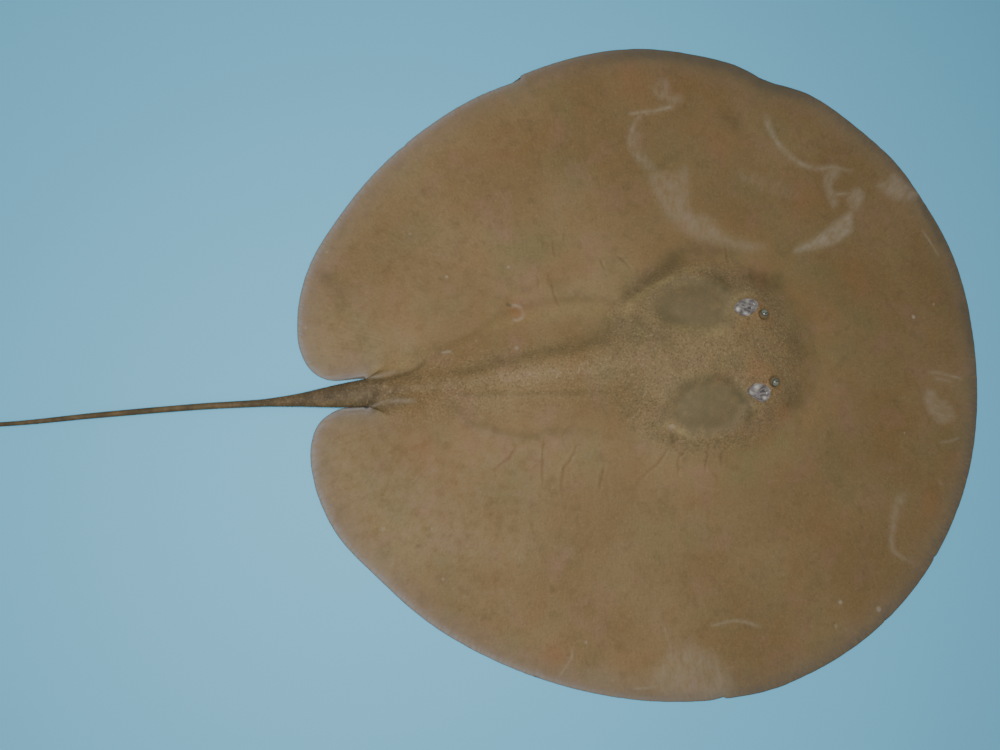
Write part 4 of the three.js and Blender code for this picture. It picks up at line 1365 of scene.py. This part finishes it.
def makeEye(name, side, material):
    axis = Vector((eyeLook["lookForward"], side * eyeLook["lookOut"], 1)).normalized()
    along = Vector((1, 0, 0)) - axis * axis.x
    along.normalize()
    outward = axis.cross(along) * -side
    middle = Vector((eye["x"], side * eye["y"], headTop(eye["x"], eye["y"]) - eye["sunk"]))
    spots, fields, faces = [], [], []
    segments, rings = eyeLook["segments"], eyeLook["rings"]
    for ring in range(rings + 1):
        lean = math.pi * ring / rings
        radius = eyeLook["radius"] + eyeLook["cornea"] * math.exp(-((lean / eyeLook["corneaLean"]) ** 4))
        for k in range(1 if ring in (0, rings) else segments):
            turn = 2 * math.pi * k / segments
            u, w = math.sin(lean) * math.cos(turn), math.sin(lean) * math.sin(turn)
            spots.append(middle + (axis * math.cos(lean) + along * u + outward * w) * radius)
            behind = 9 if lean > 1.5 else 0
            shapes = [
                math.hypot(u / halfLength, (w - shift) / halfWidth) + behind
                for shift, halfLength, halfWidth in (eyeLook["pupilShape"], eyeLook["flapShape"])
            ]
            fields.append((lean / eyeLook["irisLean"], *shapes))
    starts = [0] + [1 + segments * k for k in range(rings)]
    for k in range(segments):
        after = (k + 1) % segments
        faces.append((0, 1 + k, 1 + after))
        for ring in range(1, rings - 1):
            low, high = starts[ring], starts[ring + 1]
            faces.append((low + k, high + k, high + after, low + after))
        faces.append((starts[rings - 1] + k, starts[rings], starts[rings - 1] + after))
    mesh = bpy.data.meshes.new(name)
    mesh.from_pydata([tuple(s * mm) for s in spots], [], faces)
    for index, layer in enumerate(eyeFields):
        writeLayer(mesh, layer, [f[index] for f in fields])
    return finishMesh(name, mesh, material)


def finishMesh(name, mesh, material):
    # outward normals, a material and a place in the scene
    faceOutward(mesh)
    mesh.materials.append(material)
    return addObject(name, mesh)


cornea = eyeMaterial()
eyes = {side: makeEye("eyeball_" + name, side, cornea) for name, side in bothSides.items()}

# Spiracle lining: wet mucous membrane, folded, grey and mauve with nearly white lips; its palest spots and
# the tops of its folds are partly painted highlights, and its deep part is painted darker as shade.
lining = {
    "around": 60,
    "rings": 20,
    "floor": 4.3,  # how deep the lining's own floor lies
    "bump": 0.2,
    "colour": "#5f5c57",
    # painted shade: the colour of the lining's deepest part
    "deep": "#45413f",
    "mauve": "#6b5b63",
    # the pale lips, and the painted highlights on the wet lining and its fold tops
    "lipAndHighlight": "#c2bdb3",
    "lipsAndHighlights": {  # its palest places, partly pale lips and partly painted highlights of the wet surface: x, y, radius, strength
        1: [(57.5, 34.6, 1.9, 1), (64.5, 30.4, 1.9, 0.8), (67, 41, 1.6, 0.35)],
        -1: [(63.5, 30.8, 2.6, 0.75), (58, 35, 1.6, 0.5), (69, 40.5, 1.5, 0.7)],
    },
    "valve": [(58, 38.5), (63, 36.2), (69, 36.8), (73, 35)],  # a soft fold across the opening
}


def liningMaterial():
    material, tree = blankMaterial("mucousMembrane")
    place = addNode(tree, "ShaderNodeTexCoord").outputs["Object"]
    lipAndHighlight = addNode(tree, "ShaderNodeAttribute", {"attribute_name": "lipAndHighlight"}).outputs["Fac"]
    depth = addNode(tree, "ShaderNodeAttribute", {"attribute_name": "depth"}).outputs["Fac"]
    patch = addNode(tree, "ShaderNodeTexNoise", {"Scale": 420, "Detail": 3}, {"Vector": place}).outputs["Fac"]
    settings = {"From Min": 0.45, "From Max": 0.65}
    patchy = addNode(tree, "ShaderNodeMapRange", settings, {"Value": patch}).outputs[0]
    settings = {"data_type": "RGBA", 6: fromHex(lining["colour"]), 7: fromHex(lining["mauve"])}
    colour = addNode(tree, "ShaderNodeMix", settings, {0: patchy}).outputs[2]
    # painted shade in the deep part, then the pale lips and painted highlights
    for share, code in ((depth, "deep"), (lipAndHighlight, "lipAndHighlight")):
        settings = {"data_type": "RGBA", 7: fromHex(lining[code])}
        colour = addNode(tree, "ShaderNodeMix", settings, {0: share, 6: colour}).outputs[2]
    fine = addNode(tree, "ShaderNodeTexNoise", {"Scale": 900, "Detail": 3}, {"Vector": place}).outputs["Fac"]
    settings = {"Distance": lining["bump"] * mm, "Strength": 0.5}
    bump = addNode(tree, "ShaderNodeBump", settings, {"Height": fine}).outputs[0]
    settings = {"Roughness": 0.24, "IOR": 1.4, "Coat Weight": 0.5, "Coat Roughness": 0.1}
    shader = addNode(tree, "ShaderNodeBsdfPrincipled", settings, {"Base Color": colour, "Normal": bump})
    addNode(tree, "ShaderNodeOutputMaterial", {}, {"Surface": shader.outputs[0]})
    return material


def makeLining(name, side, material):
    middle = np.array([spiracle["x"], spiracle["y"]])
    valve = curveThrough(lining["valve"])
    corners = spiracleLoops[side][:-1]
    picks = np.linspace(0, len(corners), lining["around"], endpoint=False)
    closed = np.append(corners, corners[:1], axis=0)
    rim = np.stack([np.interp(picks, np.arange(len(closed)), closed[:, i]) for i in (0, 1)], 1)
    height = headTop(*middle)
    spots, lipsAndHighlights, pitShades, faces = [], [], [], []
    for ring in range(lining["rings"] + 1):
        share = 1 - ring / lining["rings"]
        for point in rim if ring < lining["rings"] else [middle]:
            x, y = middle + (point - middle) * share * 1.03
            inset = np.linalg.norm(point - middle) * (1 - share)
            pale = max(
                strength * math.exp(-(((x - a) ** 2 + (y - b) ** 2) / radius**2))
                for a, b, radius, strength in lining["lipsAndHighlights"][side]
            )
            fold = float(bell(toPath(np.array([x]), np.array([y]), valve)[0], 1.0)[0])
            wrinkle = 1 - min(1, 3 * abs(noise.noise((x / 5.2 + 9 * side, y / 2.8, 3.0))))
            front = float(smooth(60, 72, x)) * float(smooth(0, 2.0, inset))
            sunk = 1.9 * float(smooth(0, 3.0, inset)) + 0.9 * front
            z = -0.9 - sunk + 0.9 * fold * (1 - share**6) + 0.45 * wrinkle + 0.4 * pale
            spots.append((x, side * y, height + z))
            # the pale spots, partly painted highlights, and the tops of the wrinkles and the fold painted
            # lighter as a highlight
            lipsAndHighlights.append(min(1, pale + 0.22 * wrinkle + 0.12 * fold))
            # painted shade: darker the deeper the lining lies
            pitShades.append(min(1, max(0, (-2.3 - z) / 1.4)))
    count = lining["around"]
    for ring in range(lining["rings"] - 1):
        for k in range(count):
            a, b = ring * count + k, ring * count + (k + 1) % count
            faces.append((a, b, b + count, a + count))
    last = (lining["rings"] - 1) * count
    faces += [(last + k, last + (k + 1) % count, len(spots) - 1) for k in range(count)]
    foot = len(spots)
    spots += [(x, y, height - lining["floor"]) for x, y, _ in spots[:count]]
    lipsAndHighlights += [0] * count
    pitShades += [1] * count
    faces += [(k, (k + 1) % count, foot + (k + 1) % count, foot + k) for k in range(count)]
    faces.append(tuple(foot + k for k in range(count)))
    mesh = bpy.data.meshes.new(name)
    mesh.from_pydata([tuple(c * mm for c in s) for s in spots], [], faces)
    writeLayer(mesh, "lipAndHighlight", lipsAndHighlights)
    writeLayer(mesh, "depth", pitShades)
    return finishMesh(name, mesh, material)


membrane = liningMaterial()
linings = {side: makeLining("spiracleLining_" + name, side, membrane) for name, side in bothSides.items()}
print("eyes and spiracles made")

# The floor: a plain pale sheet of matt vinyl, which gives an even, slightly cool ground.
room = {
    "floorColour": "#6fc3e6",
    "floorHeight": -0.0003,
    "floorReach": 6,
    "keyPlace": (-0.26, -0.06, 0.95),
    "keyAim": (-0.08, -0.02, 0),
    "keySize": 0.35,
    "keyPower": 8.5,
    "fillColour": "#e6eef2",
    "fillStrength": 0.30,
}


def makeRoom():
    mesh = bpy.data.meshes.new("floor")
    reach = room["floorReach"]
    corners = [(-reach, -reach, 0), (reach, -reach, 0), (reach, reach, 0), (-reach, reach, 0)]
    mesh.from_pydata(corners, [], [(0, 1, 2, 3)])
    mesh.transform(Matrix.Translation((0, 0, room["floorHeight"])))
    material, tree = blankMaterial("mattVinyl")
    settings = {"Base Color": fromHex(room["floorColour"]), "Roughness": 0.6}
    shader = addNode(tree, "ShaderNodeBsdfPrincipled", settings)
    addNode(tree, "ShaderNodeOutputMaterial", {}, {"Surface": shader.outputs[0]})
    mesh.materials.append(material)
    floor = addObject("floor", mesh)
    light = bpy.data.lights.new("key", "AREA")
    light.size = room["keySize"]
    light.energy = room["keyPower"]
    key = addObject("key", light)
    aim = Vector(room["keyAim"]) - Vector(room["keyPlace"])
    turn = aim.to_track_quat("-Z", "Y").to_matrix().to_4x4()
    key.matrix_world = Matrix.Translation(room["keyPlace"]) @ turn
    world = bpy.data.worlds.new("room")
    world.use_nodes = True
    world.node_tree.nodes.clear()
    settings = {"Color": fromHex(room["fillColour"]), "Strength": room["fillStrength"]}
    sky = addNode(world.node_tree, "ShaderNodeBackground", settings)
    addNode(world.node_tree, "ShaderNodeOutputWorld", {}, {"Surface": sky.outputs[0]})
    scene.world = world


makeRoom()

flesh = [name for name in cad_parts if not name.startswith(("eye_", "spiracle_"))]
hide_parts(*flesh)
for name, side in bothSides.items():
    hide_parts("eye_" + name)
    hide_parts("spiracle_" + name)
for piece in (skinPiece, coatPiece, *eyes.values(), *linings.values()):
    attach(piece, "root")
